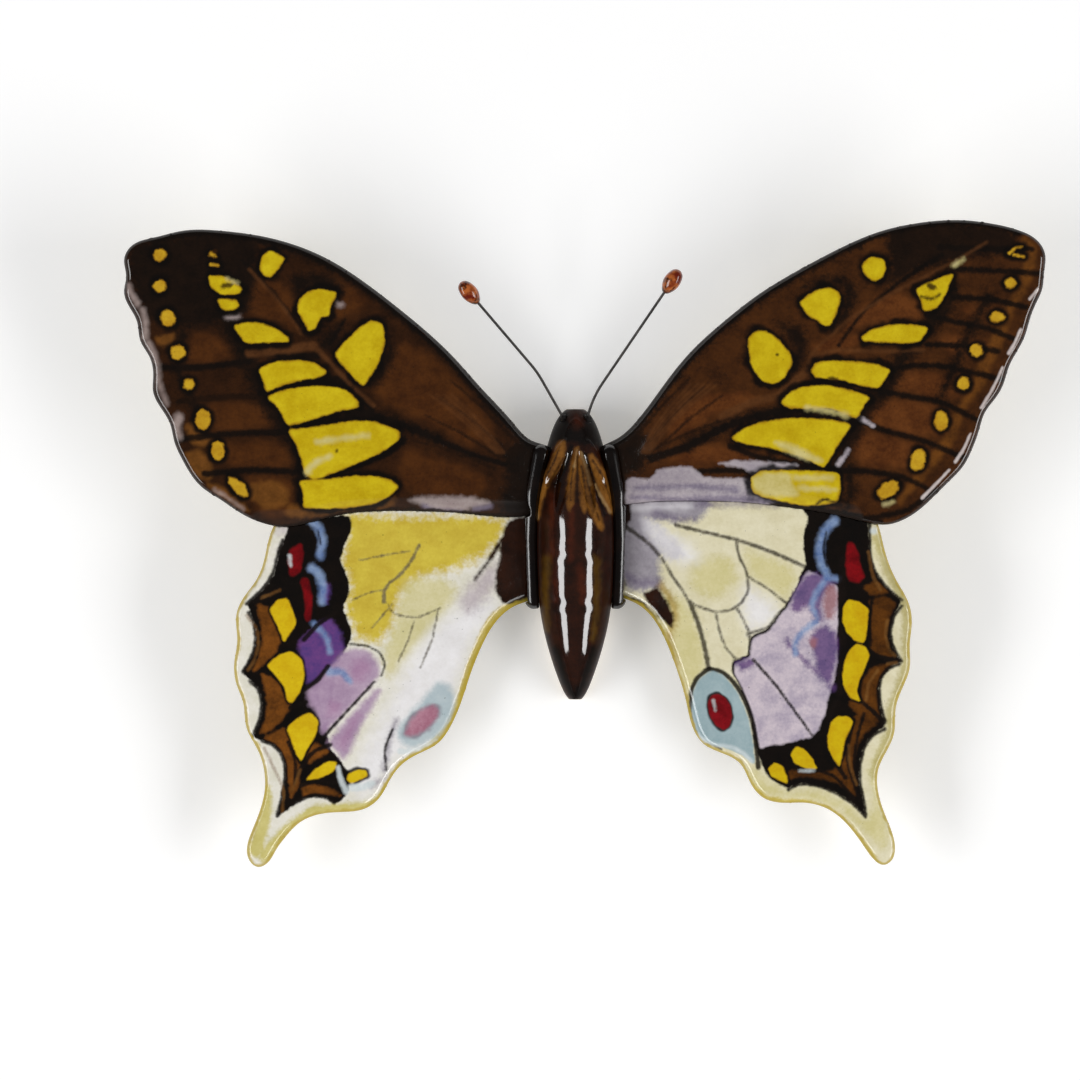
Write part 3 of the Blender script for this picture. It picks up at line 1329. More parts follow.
RIGHT_HINDWING = Wing(
    name="right_hindwing_painted", node="right_hindwing", slot="hindwing_glaze", side=1,
    outline_px=[
        (588, 548), (589, 522), (599, 504), (622, 496), (665, 491), (730, 488), (800, 491),
        (848, 499), (872, 513), (881, 535), (887, 558), (897, 581), (908, 601), (912, 622),
        (910, 645), (910, 668), (903, 688), (896, 710), (895, 732), (887, 752), (879, 770),
        (879, 792), (886, 815), (894, 836), (896, 851), (892, 862), (884, 866), (875, 861),
        (865, 848), (851, 829), (832, 812), (808, 804), (784, 804), (764, 799), (751, 784),
        (741, 765), (722, 754), (704, 745), (693, 728), (686, 700), (676, 667), (662, 633),
        (645, 610), (624, 599), (604, 592), (592, 574),
    ],
    ground=("dcd3ac", "efe8ca"), edge="b8a034", edge_mm=0.55, brushes=HIND_BRUSHES, streak_turn=-50.0,
    droop_deg=6.0, ledge_mm=1.2, satin=0.04,
    grooves=(Paint.LINE, Paint.VEIN), dished=(Paint.BAND,), raised=(Paint.PATCH, Paint.EYE),
    rolls=(Roll(((604, 592), (645, 610), (676, 667), (686, 700), (693, 728)), reach_mm=5.0, drop_mm=0.3),),
    paints={
        Paint.BARE: patches([(580, 480), (780, 480), (780, 500), (600, 512), (580, 520)]),
        Paint.WASH: patches(
            [(663, 590), (690, 604), (706, 650), (706, 672), (692, 690), (690, 715), (680, 690),
             (668, 650), (655, 615)],
            [(742, 548), (790, 566), (796, 580), (786, 598), (752, 578)],
            [(690, 560), (730, 556), (738, 580), (716, 600), (694, 590)],
            [(742, 778), (752, 768), (765, 780), (790, 792), (820, 790), (850, 806), (866, 822),
             (876, 800), (868, 770), (880, 745), (892, 730), (884, 760), (880, 792), (890, 835),
             (884, 850), (868, 836), (845, 812), (808, 800), (770, 798), (750, 788)],
            [(870, 532), (880, 534), (884, 552), (876, 556), (871, 545)],
        ),
        Paint.MARGIN: strokes(
            10, [(878, 540), (886, 568), (898, 590), (906, 610), (906, 640), (906, 664), (898, 690),
                 (890, 712), (890, 734), (880, 756), (874, 776)], end=8,
        ),
        Paint.STREAK: (
            *strokes(4, [(612, 594), (644, 612), (660, 636), (674, 668), (684, 700), (690, 728)]),
            *strokes(5, [(722, 755), (741, 766), (751, 785), (764, 798), (784, 803), (808, 803),
                         (832, 811), (851, 828), (866, 848), (876, 862)], end=7),
        ),
        Paint.GLINT: patches(
            [(640, 516), (662, 530), (690, 545), (700, 562), (676, 562), (655, 545)],
            [(746, 586), (770, 600), (780, 612), (768, 628), (750, 632), (742, 610)],
        ),
        Paint.MAUVE: patches(
            [(618, 490), (712, 490), (710, 508), (700, 520), (664, 522), (645, 520), (654, 536),
             (662, 552), (660, 572), (662, 588), (650, 592), (630, 592), (620, 575), (618, 540)],
        ),
        Paint.PALE: (
            *patches([(640, 516), (660, 524), (676, 540), (686, 556), (670, 562), (656, 546),
                      (644, 530)]),
            *strokes(6, [(632, 508), (660, 507), (690, 506)], end=4),
        ),
        Paint.SOOT: strokes(8, [(662, 586), (672, 600), (676, 618), (668, 640), (676, 666)], end=7),
        Paint.GREY: (
            *strokes(9, [(628, 578), (642, 584), (656, 582)], end=6),
            *strokes(5, [(700, 504), (776, 504)], end=4),
            *strokes(6, [(656, 513), (676, 519), (694, 520)], end=3),
        ),
        Paint.ROOT: (
            *patches([(642, 594), (657, 587), (664, 595), (670, 606), (675, 618), (673, 629),
                      (664, 622), (655, 612)]),
            *patches([(585, 500), (630, 498), (632, 518), (624, 532), (622, 568), (627, 590),
                      (600, 600), (585, 570)]),
            *strokes(6, [(598, 594), (626, 597), (642, 603), (655, 618), (662, 634)], end=3),
        ),
        Paint.VEIN: (
            *strokes(3.4, [(676, 525), (700, 531), (735, 539), (765, 549), (790, 560), (808, 568)],
                     end=4),
            *strokes(5, [(622, 524), (634, 532), (650, 544), (660, 556)], end=3),
            *strokes(3, [(662, 558), (674, 578), (684, 592), (690, 603)], end=2.4),
            *strokes(2.4, [(736, 540), (739, 556), (747, 572), (749, 590), (742, 603), (730, 611),
                           (715, 612), (700, 607), (690, 602)],
                     [(749, 577), (770, 590), (790, 606)],
                     [(716, 612), (720, 632), (726, 648), (737, 660)],
                     [(737, 608), (744, 620), (750, 634)], [(750, 636), (750, 656), (734, 662)]),
            *strokes(4.5, [(690, 602), (698, 622), (704, 642), (709, 668)], end=5),
            *strokes(3, [(748, 634), (768, 628), (778, 614), (790, 602)], end=2),
        ),
        Paint.BAND: patches(
            [(800, 505), (838, 510), (866, 518), (869, 533), (869, 545), (870, 560), (875, 573),
             (883, 584), (893, 594), (901, 600), (900, 606), (893, 616), (890, 630), (891, 642),
             (895, 652), (901, 661), (890, 667), (882, 677), (879, 690), (880, 705), (885, 722),
             (884, 728), (872, 735), (864, 748), (860, 765), (860, 785), (864, 800), (866, 817),
             (855, 805), (843, 797), (830, 790), (818, 786), (805, 784), (795, 786), (789, 790),
             (778, 784), (766, 774), (763, 765), (758, 755), (750, 712), (742, 690), (731, 672),
             (733, 662), (749, 655), (750, 637), (768, 628), (778, 615), (787, 603), (795, 590),
             (802, 572), (806, 565), (803, 548), (804, 530), (808, 518)],
        ),
        Paint.WARM: patches(
            [(868, 600), (885, 597), (897, 604), (889, 616), (886, 632), (888, 648), (893, 657),
             (878, 655), (870, 648), (868, 630), (871, 612)],
            [(880, 665), (892, 664), (881, 676), (876, 690), (877, 705), (881, 720), (868, 724),
             (858, 714), (848, 706), (850, 700), (863, 703), (860, 690), (864, 678), (872, 668)],
            [(854, 716), (866, 714), (878, 724), (865, 733), (857, 747), (854, 765), (855, 785),
             (857, 798), (848, 790), (834, 782), (815, 778), (800, 777), (791, 780), (788, 772),
             (798, 770), (815, 773), (835, 770), (846, 758), (850, 740), (853, 727)],
            [(876, 580), (890, 592), (872, 596), (862, 588)],
        ),
        Paint.LILAC: patches(
            [(808, 570), (797, 590), (789, 605), (777, 620), (769, 631), (752, 639), (751, 657),
             (736, 664), (734, 673), (744, 690), (752, 712), (757, 735), (760, 750), (770, 746),
             (785, 744), (798, 740), (812, 738), (820, 728), (826, 712), (829, 695), (833, 685),
             (838, 660), (836, 640), (838, 620), (837, 600), (838, 586), (826, 580), (816, 574)],
        ),
        Paint.VIOLET: (
            *patches([(820, 626), (828, 626), (836, 633), (839, 646), (837, 660), (834, 674),
                      (829, 686), (820, 677), (815, 666), (814, 652), (809, 642), (812, 633)],
                     [(810, 572), (826, 576), (838, 582), (828, 588), (820, 602), (824, 622),
                      (814, 620), (808, 604), (800, 612), (790, 610), (794, 592), (802, 580)],
                     [(736, 662), (750, 658), (756, 664), (742, 672)]),
            *strokes(4, [(786, 640), (800, 656), (816, 671), (833, 688)], end=5),
        ),
        Paint.ROSE: (
            *patches([(826, 586), (834, 585), (838, 594), (836, 608), (832, 620), (826, 618),
                      (823, 604)]),
            *dot(813, 643, 4, 6),
        ),
        Paint.BLUE: (
            *strokes(9, [(834, 521), (825, 530), (820, 542), (819, 554), (822, 566), (828, 576)],
                     end=7),
            *strokes(6, [(824, 582), (815, 594), (812, 606), (817, 618)],
                     [(816, 622), (802, 632), (795, 644), (796, 654)], [(826, 578), (838, 579)], end=5),
        ),
        Paint.LINE: (
            *strokes(4, [(869, 520), (869, 545), (870, 560), (875, 573), (883, 584), (893, 594),
                         (901, 600)],
                     [(901, 606), (893, 616), (890, 630), (891, 642), (895, 652), (901, 661)],
                     [(899, 664), (888, 668), (881, 677), (879, 690), (880, 705), (885, 722)],
                     [(885, 729), (872, 735), (864, 748), (860, 765), (860, 785), (864, 800),
                      (866, 817)],
                     [(866, 817), (855, 805), (843, 797), (830, 790), (818, 786), (805, 784),
                      (795, 786), (789, 790)]),
            *strokes(4.5, [(862, 646), (876, 656), (896, 661)], [(863, 703), (874, 712), (884, 723)],
                     [(842, 690), (832, 710), (826, 735), (834, 760), (846, 778)]),
            *strokes(8, [(842, 560), (842, 600), (843, 650), (841, 692)], end=7),
            *strokes(2, [(826, 532), (823, 550), (827, 566)]),
            *strokes(3.5, [(854, 720), (848, 745), (848, 765), (860, 800)],
                     [(864, 714), (858, 735), (854, 760), (858, 788)],
                     [(812, 768), (835, 776), (855, 800)], [(872, 598), (869, 620), (870, 645)]),
            *strokes(3.5, [(754, 660), (775, 684), (795, 711), (813, 736)], end=2.5),
            *strokes(5, [(691, 712), (692, 690), (698, 678), (709, 669), (722, 672), (732, 680),
                         (741, 692), (748, 707), (753, 722), (756, 740), (759, 768)]),
            *strokes(2.5, [(691, 708), (695, 728), (704, 741), (722, 750)]),
        ),
        Paint.PATCH: patches(
            [(843, 605), (849, 599), (858, 601), (869, 609), (868, 620), (865, 643), (855, 641),
             (846, 632), (842, 620)],
            [(849, 651), (856, 643), (866, 647), (870, 655), (865, 668), (859, 681), (857, 692),
             (861, 702), (851, 699), (845, 690), (842, 678), (844, 662)],
            [(831, 722), (838, 716), (848, 716), (854, 722), (850, 731), (845, 741), (843, 755),
             (840, 768), (834, 760), (828, 748), (828, 735)],
            [(791, 755), (796, 746), (805, 749), (812, 757), (818, 770), (805, 769), (794, 763)],
            [(768, 769), (775, 763), (783, 766), (787, 775), (789, 785), (779, 781), (771, 776)],
        ),
        Paint.RED: patches(
            [(847, 542), (852, 542), (858, 552), (860, 565), (865, 577), (858, 583), (848, 581),
             (845, 565)],
        ),
        Paint.EYE: patches(
            [(711, 671), (722, 674), (730, 682), (738, 693), (745, 707), (750, 722), (753, 740),
             (756, 766), (743, 756), (727, 749), (711, 745), (700, 738), (695, 727), (692, 712),
             (693, 700), (694, 690), (700, 679)],
        ),
        Paint.PUPIL: patches(
            [(711, 696), (718, 694), (726, 698), (731, 706), (733, 717), (730, 727), (724, 731),
             (716, 726), (710, 716), (708, 705)],
        ),
        Paint.HOLE: (
            *strokes(3.5, [(698, 735), (706, 743), (720, 746), (733, 748), (744, 754), (752, 762)]),
            *strokes(3, [(714, 701), (716, 711)], end=2),
            *strokes(2.5, [(800, 771), (814, 771)]),
            *dot(873, 531, 3.5),
        ),
        Paint.RIDGE: (
            *strokes(2.4, [(887, 620), (885, 635), (889, 650), (895, 656)],
                     [(878, 670), (868, 684), (866, 700)], [(887, 664), (896, 663)],
                     [(849, 745), (850, 765), (857, 785)], [(868, 552), (872, 575), (880, 590)]),
        ),
    },
)

LEFT_HINDWING = Wing(
    name="left_hindwing_painted", node="left_hindwing", slot="hindwing_glaze", side=-1,
    outline_px=[
        (563, 548), (562, 522), (551, 504), (528, 497), (480, 495), (420, 494), (360, 497),
        (305, 504), (279, 518), (269, 538), (264, 560), (256, 580), (243, 598), (236, 616),
        (237, 640), (234, 662), (236, 684), (243, 704), (246, 728), (256, 748), (263, 768),
        (264, 790), (258, 814), (250, 834), (246, 850), (249, 862), (257, 868), (267, 864),
        (275, 852), (285, 838), (300, 823), (320, 815), (345, 813), (364, 810), (379, 799),
        (389, 782), (402, 765), (420, 754), (438, 744), (450, 728), (460, 706), (470, 676),
        (482, 646), (497, 621), (516, 606), (538, 598), (556, 580),
    ],
    ground=("e0dcc8", "f5f1e8"), edge="b8a030", edge_mm=0.7, brushes=SHEEN_BRUSHES, streak_turn=50.0,
    droop_deg=6.0, ledge_mm=1.2, satin=0.05, groove_mm=0.012,
    grooves=(Paint.LINE, Paint.VEIN), dished=(Paint.BAND,), raised=(Paint.PATCH, Paint.EYE),
    rolls=(Roll(
        ((538, 598), (497, 621), (470, 676), (450, 728), (402, 765), (379, 799)),
        reach_mm=9.0, drop_mm=0.5,
    ),),
    paints={
        Paint.SUN: patches(
            [(344, 512), (400, 516), (508, 516), (502, 540), (486, 556), (452, 570), (424, 576),
             (404, 590), (398, 606), (392, 626), (378, 644), (356, 640), (350, 620), (343, 605),
             (350, 588), (346, 572), (340, 558), (346, 543)],
        ),
        Paint.WASH: patches(
            [(404, 580), (440, 576), (458, 590), (446, 610), (424, 636), (404, 660), (388, 680),
             (382, 656), (394, 626)],
        ),
        Paint.MARGIN: (
            *strokes(12, [(384, 796), (372, 808), (345, 810), (315, 812), (290, 830), (266, 856)],
                     end=16),
            *strokes(10, [(266, 790), (264, 820), (256, 850)], end=16),
        ),
        Paint.STREAK: (
            *strokes(12, [(524, 604), (508, 611), (498, 621)], end=20),
            *strokes(20, [(498, 621), (490, 632), (476, 662), (466, 692)], end=15),
            *strokes(15, [(466, 692), (458, 712), (448, 730), (430, 750), (404, 766), (386, 792)],
                     end=8),
        ),
        Paint.SEAM: strokes(
            13, [(530, 601), (508, 611), (490, 632), (476, 662), (464, 696), (450, 728), (430, 750),
                 (404, 766), (386, 792)],
        ),
        Paint.GLINT: patches(
            [(500, 604), (474, 636), (454, 690), (432, 740), (397, 758), (374, 792), (354, 796),
             (352, 776), (368, 740), (394, 696), (414, 656), (440, 624), (472, 598)],
        ),
        Paint.MAUVE: (
            *patches([(460, 600), (474, 580), (497, 560), (497, 586), (484, 600), (466, 616)]),
            *strokes(6, [(286, 545), (282, 570), (284, 586)], [(283, 530), (300, 530)], end=8),
        ),
        Paint.ROOT: (
            *patches([(508, 518), (560, 513), (560, 600), (520, 606), (502, 604), (495, 592),
                      (496, 572), (500, 558), (499, 545)]),
            *strokes(6, [(502, 540), (488, 562), (474, 580)], end=2),
            *strokes(4, [(562, 594), (538, 600), (516, 608), (500, 620), (490, 634)], end=1.5),
        ),
        Paint.GREY: strokes(3, [(384, 770), (388, 745), (396, 720)], [(372, 786), (384, 778)], end=2),
        Paint.VEIN: (
            *strokes(2.8, [(419, 545), (412, 560), (400, 575), (388, 584), (384, 592), (384, 602)],
                     end=4),
            *strokes(1.8, [(400, 616), (418, 618), (440, 608)], [(386, 602), (392, 612), (400, 616)],
                     [(414, 622), (408, 640), (398, 662)], [(438, 610), (432, 640), (420, 668)]),
            *strokes(1.6, [(360, 560), (380, 556), (410, 551)], [(352, 600), (370, 592), (384, 590)],
                     [(372, 628), (392, 604)]),
        ),
        Paint.BAND: patches(
            [(290, 522), (350, 514), (352, 530), (345, 545), (340, 560), (347, 575), (350, 590),
             (343, 608), (350, 625), (352, 638), (344, 652), (336, 668), (334, 690), (330, 712),
             (326, 732), (330, 748), (340, 760), (350, 776), (348, 792), (340, 803), (333, 803),
             (325, 798), (312, 797), (300, 800), (288, 810), (277, 816), (281, 800), (285, 780),
             (285, 765), (280, 752), (272, 744), (262, 741), (252, 737), (257, 728), (261, 715),
             (262, 700), (258, 688), (250, 680), (242, 672), (249, 662), (255, 650), (256, 635),
             (254, 622), (250, 612), (247, 604), (258, 594), (268, 585), (275, 572), (278, 555),
             (284, 540)],
        ),
        Paint.WARM: patches(
            [(256, 604), (268, 606), (278, 624), (281, 640), (276, 653), (266, 663), (252, 673),
             (259, 655), (263, 640), (261, 622)],
            [(260, 673), (272, 677), (283, 690), (291, 705), (286, 716), (271, 731), (258, 735),
             (265, 722), (267, 705), (265, 690)],
            [(285, 726), (292, 745), (300, 762), (297, 790), (290, 801), (288, 780), (286, 760),
             (278, 746), (262, 738)],
            [(302, 784), (318, 786), (335, 791), (342, 797), (330, 796), (312, 793), (302, 798)],
            [(305, 752), (316, 742), (330, 752), (320, 757), (308, 765)],
        ),
        Paint.LILAC: patches(
            [(306, 690), (320, 679), (330, 664), (341, 652), (354, 648), (368, 651), (378, 661),
             (380, 674), (372, 685), (358, 700), (340, 719), (324, 736), (317, 726), (316, 712),
             (308, 703)],
            [(326, 744), (342, 724), (360, 705), (374, 690), (382, 688), (374, 706), (363, 722),
             (355, 740), (348, 756), (342, 760), (336, 752)],
        ),
        Paint.VIOLET: patches(
            [(297, 646), (305, 636), (318, 622), (330, 618), (340, 630), (344, 648), (337, 660),
             (322, 673), (307, 686), (302, 665)],
            [(324, 580), (331, 588), (328, 604), (320, 600)],
        ),
        Paint.ROSE: (
            *patches([(352, 662), (364, 658), (372, 668), (362, 682), (352, 682)],
                     [(330, 700), (342, 704), (336, 716), (326, 716)],
                     [(336, 742), (350, 722), (360, 712), (354, 732), (344, 752)]),
        ),
        Paint.BLUE: (
            *strokes(9, [(311, 520), (319, 528), (323, 540), (320, 556)],
                     [(312, 568), (319, 573), (323, 586), (322, 602)], end=7),
            *strokes(6, [(314, 624), (326, 636), (330, 652)], end=5),
            *strokes(9, [(330, 672), (342, 672), (350, 682)], end=5),
        ),
        Paint.LINE: (
            *strokes(4, [(283, 540), (278, 556), (274, 572), (266, 586), (247, 604)],
                     [(249, 612), (254, 622), (256, 635), (255, 650), (249, 662), (243, 672)],
                     [(250, 681), (258, 688), (262, 700), (261, 715), (257, 728), (252, 737)],
                     [(262, 741), (272, 744), (280, 752), (285, 765), (285, 780), (281, 800),
                      (277, 816)],
                     [(292, 805), (302, 799), (312, 796), (325, 797), (334, 803)]),
            *strokes(3.4, [(320, 741), (335, 724), (350, 708), (374, 682)], end=2.6),
            *strokes(2.5, [(350, 644), (368, 646), (380, 653), (385, 664), (381, 676)], end=2),
            *strokes(4.5, [(252, 602), (268, 594), (285, 588)], [(304, 640), (318, 624), (336, 612)],
                     [(304, 690), (318, 680), (328, 666)], [(290, 708), (306, 702)],
                     [(296, 776), (312, 752), (330, 745)]),
            *strokes(2, [(318, 530), (321, 544)]),
            *strokes(3.5, [(350, 775), (342, 768)], [(288, 742), (296, 762), (294, 784)],
                     [(302, 786), (318, 780), (338, 784)]),
            *strokes(2.5, [(386, 770), (384, 750), (392, 730)]),
        ),
        Paint.PATCH: patches(
            [(269, 610), (278, 599), (288, 598), (293, 610), (297, 622), (291, 633), (284, 643),
             (278, 627)],
            [(266, 665), (280, 654), (292, 651), (302, 659), (305, 675), (301, 690), (293, 703),
             (287, 702), (284, 686), (275, 675)],
            [(286, 728), (298, 717), (310, 712), (319, 721), (316, 735), (307, 750), (301, 762),
             (297, 757), (292, 745)],
            [(304, 781), (315, 769), (328, 761), (337, 762), (335, 771), (320, 779)],
            [(346, 780), (348, 774), (356, 770), (366, 771), (368, 777), (358, 781), (351, 785)],
        ),
        Paint.RED: (
            *patches([(290, 549), (302, 543), (304, 555), (301, 571), (294, 577), (290, 576),
                      (288, 562)]),
            *strokes(9, [(305, 582), (309, 600), (308, 618)], end=6),
        ),
        Paint.EYE: patches(
            [(438, 681), (449, 686), (455, 698), (453, 715), (445, 731), (430, 742), (415, 749),
             (402, 746), (396, 733), (404, 720), (418, 705), (429, 692)],
        ),
        Paint.PUPIL: patches(
            [(404, 735), (409, 722), (418, 712), (430, 705), (438, 708), (437, 719), (428, 729),
             (415, 737)],
        ),
        Paint.HOLE: (
            *strokes(3.5, [(290, 556), (291, 566)], end=2),
            *strokes(4, [(338, 768), (340, 780), (346, 792)], end=6),
            *strokes(8, [(352, 788), (362, 788), (372, 784)], end=6),
            *strokes(6, [(400, 752), (420, 752), (436, 742)], end=3),
        ),
        Paint.RIDGE: (
            *strokes(2.6, [(247, 616), (257, 628), (259, 645), (254, 662), (248, 670)],
                     [(262, 598), (280, 590)], [(264, 748), (284, 790), (282, 812)],
                     [(292, 790), (300, 770)]),
        ),
    },
)


# The body, its coils and its back

@dataclass(kw_only=True)
class Body(Painted):
    """The hollow body: head, thorax with combed locks of hair, and abdomen.

    The slopes in millimetres are distances from a paint, and the others are how far a face looks
    up, from 0 to 1.
    """

    voxel_mm: float = 0.16
    smoothing: int = 7
    skin_mm: float = 0.03
    comb_mm: float = 0.14
    comb_slope_mm: Tuple[float, float] = (-0.1, 0.3)
    ring_mm: float = 0.08
    ring_slope_mm: Tuple[float, float] = (-0.2, 1.0)
    swell_mm: float = 0.04
    waves: Tuple[Wave, ...] = ((1.1, 0.6, 0.0), (-0.8, 0.9, 2.0), (0.0, 1.7, 0.5))
    top_slope: Tuple[float, float] = (0.15, 0.5)
    flat_slope: Tuple[float, float] = (0.7, 0.86)

    def build(self) -> bpy.types.Object:
        """Make the body, with its combing and its layers of paint.

        Returns:
            The body.
        """
        piece = even_copy(self.node, self.name, self.voxel_mm, self.smoothing)
        mesh = piece.data
        places = read_places(mesh)
        outward = np.zeros(len(mesh.vertices) * 3)
        mesh.vertices.foreach_get("normal", outward)
        outward = outward.reshape(-1, 3)
        layers = self.layers(places)
        combing = self.comb_mm * (1 - step_between(layers[Paint.LINE], *self.comb_slope_mm))
        rings = self.ring_mm * (1 - step_between(layers[Paint.BAND], *self.ring_slope_mm))
        swell = self.swell_mm * hand_swell(places, self.waves) / len(self.waves)
        slope = outward[:, 2]
        sink = self.skin_mm + (combing + rings + swell) * step_between(slope, *self.top_slope)
        write_places(mesh, places - outward * sink[:, None])
        write_layer(mesh, "flat", step_between(slope, *self.flat_slope))
        for kind, values in layers.items():
            write_layer(mesh, kind.value, values)
        dress(piece, self.material(), self.slot, self.node)
        return piece

    def material(self) -> bpy.types.Material:
        """The body's painting under its glaze.

        Returns:
            The material.
        """
        material, graph = new_material(self.name)
        flat = graph.layer("flat")
        finish = GlazeFinish(
            coat=1.0, coat_roughness=0.08, coat_index=1.9, index=1.14, ripple_mm=0.035, ripple_grain_mm=3.0,
        )
        finish.surface(graph, self.painting(graph), (1.0 - flat) * self.steep_dullness, flat)
        return material


BODY = Body(
    name="body_painted", node="body_shell", slot="body_glaze", streak_turn=90.0,
    ground=("140906", "34170a"),
    brushes={
        Paint.WARM: Brushwork("2c0e07", "4e200d", 0.85, 0.5, 0.6),
        Paint.ROOT: Brushwork("402c0c", "64460e", 0.75, 0.6, 0.6),
        Paint.SOOT: Brushwork("0a0706", "120b08", 0.96, 0.5, 0.5),
        Paint.RIDGE: Brushwork("54300e", "a06a2a", 0.94, 0.35, 0.35),
        Paint.STREAK: Brushwork("1c0e06", "3a200c", 0.8, 0.2, 0.25),
        Paint.LINE: Brushwork("0c0705", "160b06", 0.9, 0.25, 0.2),
        Paint.PALE: Brushwork("8a6438", "b89868", 0.75, 0.2, 0.2),
    },
    paints={
        Paint.WARM: (
            *strokes(6, [(552, 496), (551, 560)], [(572, 506), (570, 560)],
                     [(562, 550), (556, 570), (556, 600)]),
            *strokes(8, [(580, 568), (584, 600)]),
            *dot(577, 419, 4, 5),
        ),
        Paint.ROOT: strokes(
            8, [(547, 560), (545, 590), (546, 630)], [(596, 560), (597, 590), (594, 640)], end=5,
        ),
        Paint.SOOT: (
            *patches([(540, 440), (555, 412), (568, 406), (568, 424), (577, 432), (586, 424),
                      (586, 406), (600, 412), (612, 440), (596, 446), (575, 442), (560, 442)]),
            *strokes(7, [(552, 442), (540, 462), (532, 484), (528, 510)],
                     [(604, 446), (614, 470), (621, 500)]),
            *strokes(8, [(556, 650), (564, 680), (574, 700), (586, 680), (594, 650)]),
        ),
        Paint.RIDGE: patches(
            [(559, 440), (566, 440), (565, 456), (560, 468), (552, 478), (546, 490), (542, 503),
             (538, 521), (534, 516), (534, 502), (536, 490), (542, 477), (550, 464)],
            [(573, 448), (579, 446), (577, 466), (575, 486), (574, 502), (570, 512), (566, 504),
             (567, 486), (570, 466)],
            [(578, 448), (584, 460), (590, 476), (594, 494), (599, 510), (605, 526), (602, 532),
             (594, 522), (588, 508), (584, 514), (580, 500), (579, 478)],
            [(588, 454), (593, 454), (601, 465), (608, 477), (613, 495), (616, 510), (613, 515),
             (609, 511), (604, 499), (598, 485), (592, 470)],
        ),
        Paint.STREAK: strokes(
            2, [(560, 446), (553, 464), (544, 478), (538, 496)], [(563, 458), (556, 470), (547, 486)],
            [(578, 456), (577, 478), (576, 502)], [(582, 466), (585, 486), (587, 502)],
            [(573, 466), (571, 484), (570, 500)], [(587, 480), (593, 502), (600, 520)],
            [(593, 460), (602, 474), (609, 492), (612, 506)], end=1.2,
        ),
        Paint.LINE: strokes(
            5, [(571, 446), (567, 462), (562, 474), (555, 484)],
            [(585, 454), (592, 474), (598, 492), (606, 514)], end=3,
        ),
        Paint.BAND: strokes(
            3, [(540, 550), (556, 557), (575, 560), (596, 557), (612, 550)],
            [(543, 598), (558, 605), (575, 608), (592, 605), (608, 598)],
        ),
        Paint.PALE: strokes(
            1.6, [(596, 484), (603, 499), (611, 512)], [(536, 500), (537, 518)],
            [(577, 450), (574, 466)], [(581, 452), (586, 468), (590, 484)], end=2.6,
        ),
    },
)


@dataclass(frozen=True)
class DarkClay:
    """A small piece under near-black glaze, smoothed by a wet finger: a root coil or a cement plug."""

    node: str
    slot: str
    voxel_mm: float
    smoothing: int
    roughness: float
    coat: float

    def build(self) -> bpy.types.Object:
        """Make the piece.

        Returns:
            The piece.
        """
        piece = even_copy(self.node, self.node + "_glazed", self.voxel_mm, self.smoothing)
        material, graph = new_material(piece.name)
        share = graph.noise(grain_mm=2.4, detail=3.0).between(0.4, 0.7)
        colour = graph.blend(share, paint("0c0706"), paint("180e0a"))
        finish = GlazeFinish(
            roughness=self.roughness, coat=self.coat, coat_roughness=0.1, coat_index=1.7, ripple_mm=0.03,
        )
        finish.surface(graph, colour)
        dress(piece, material, self.slot, self.node)
        return piece


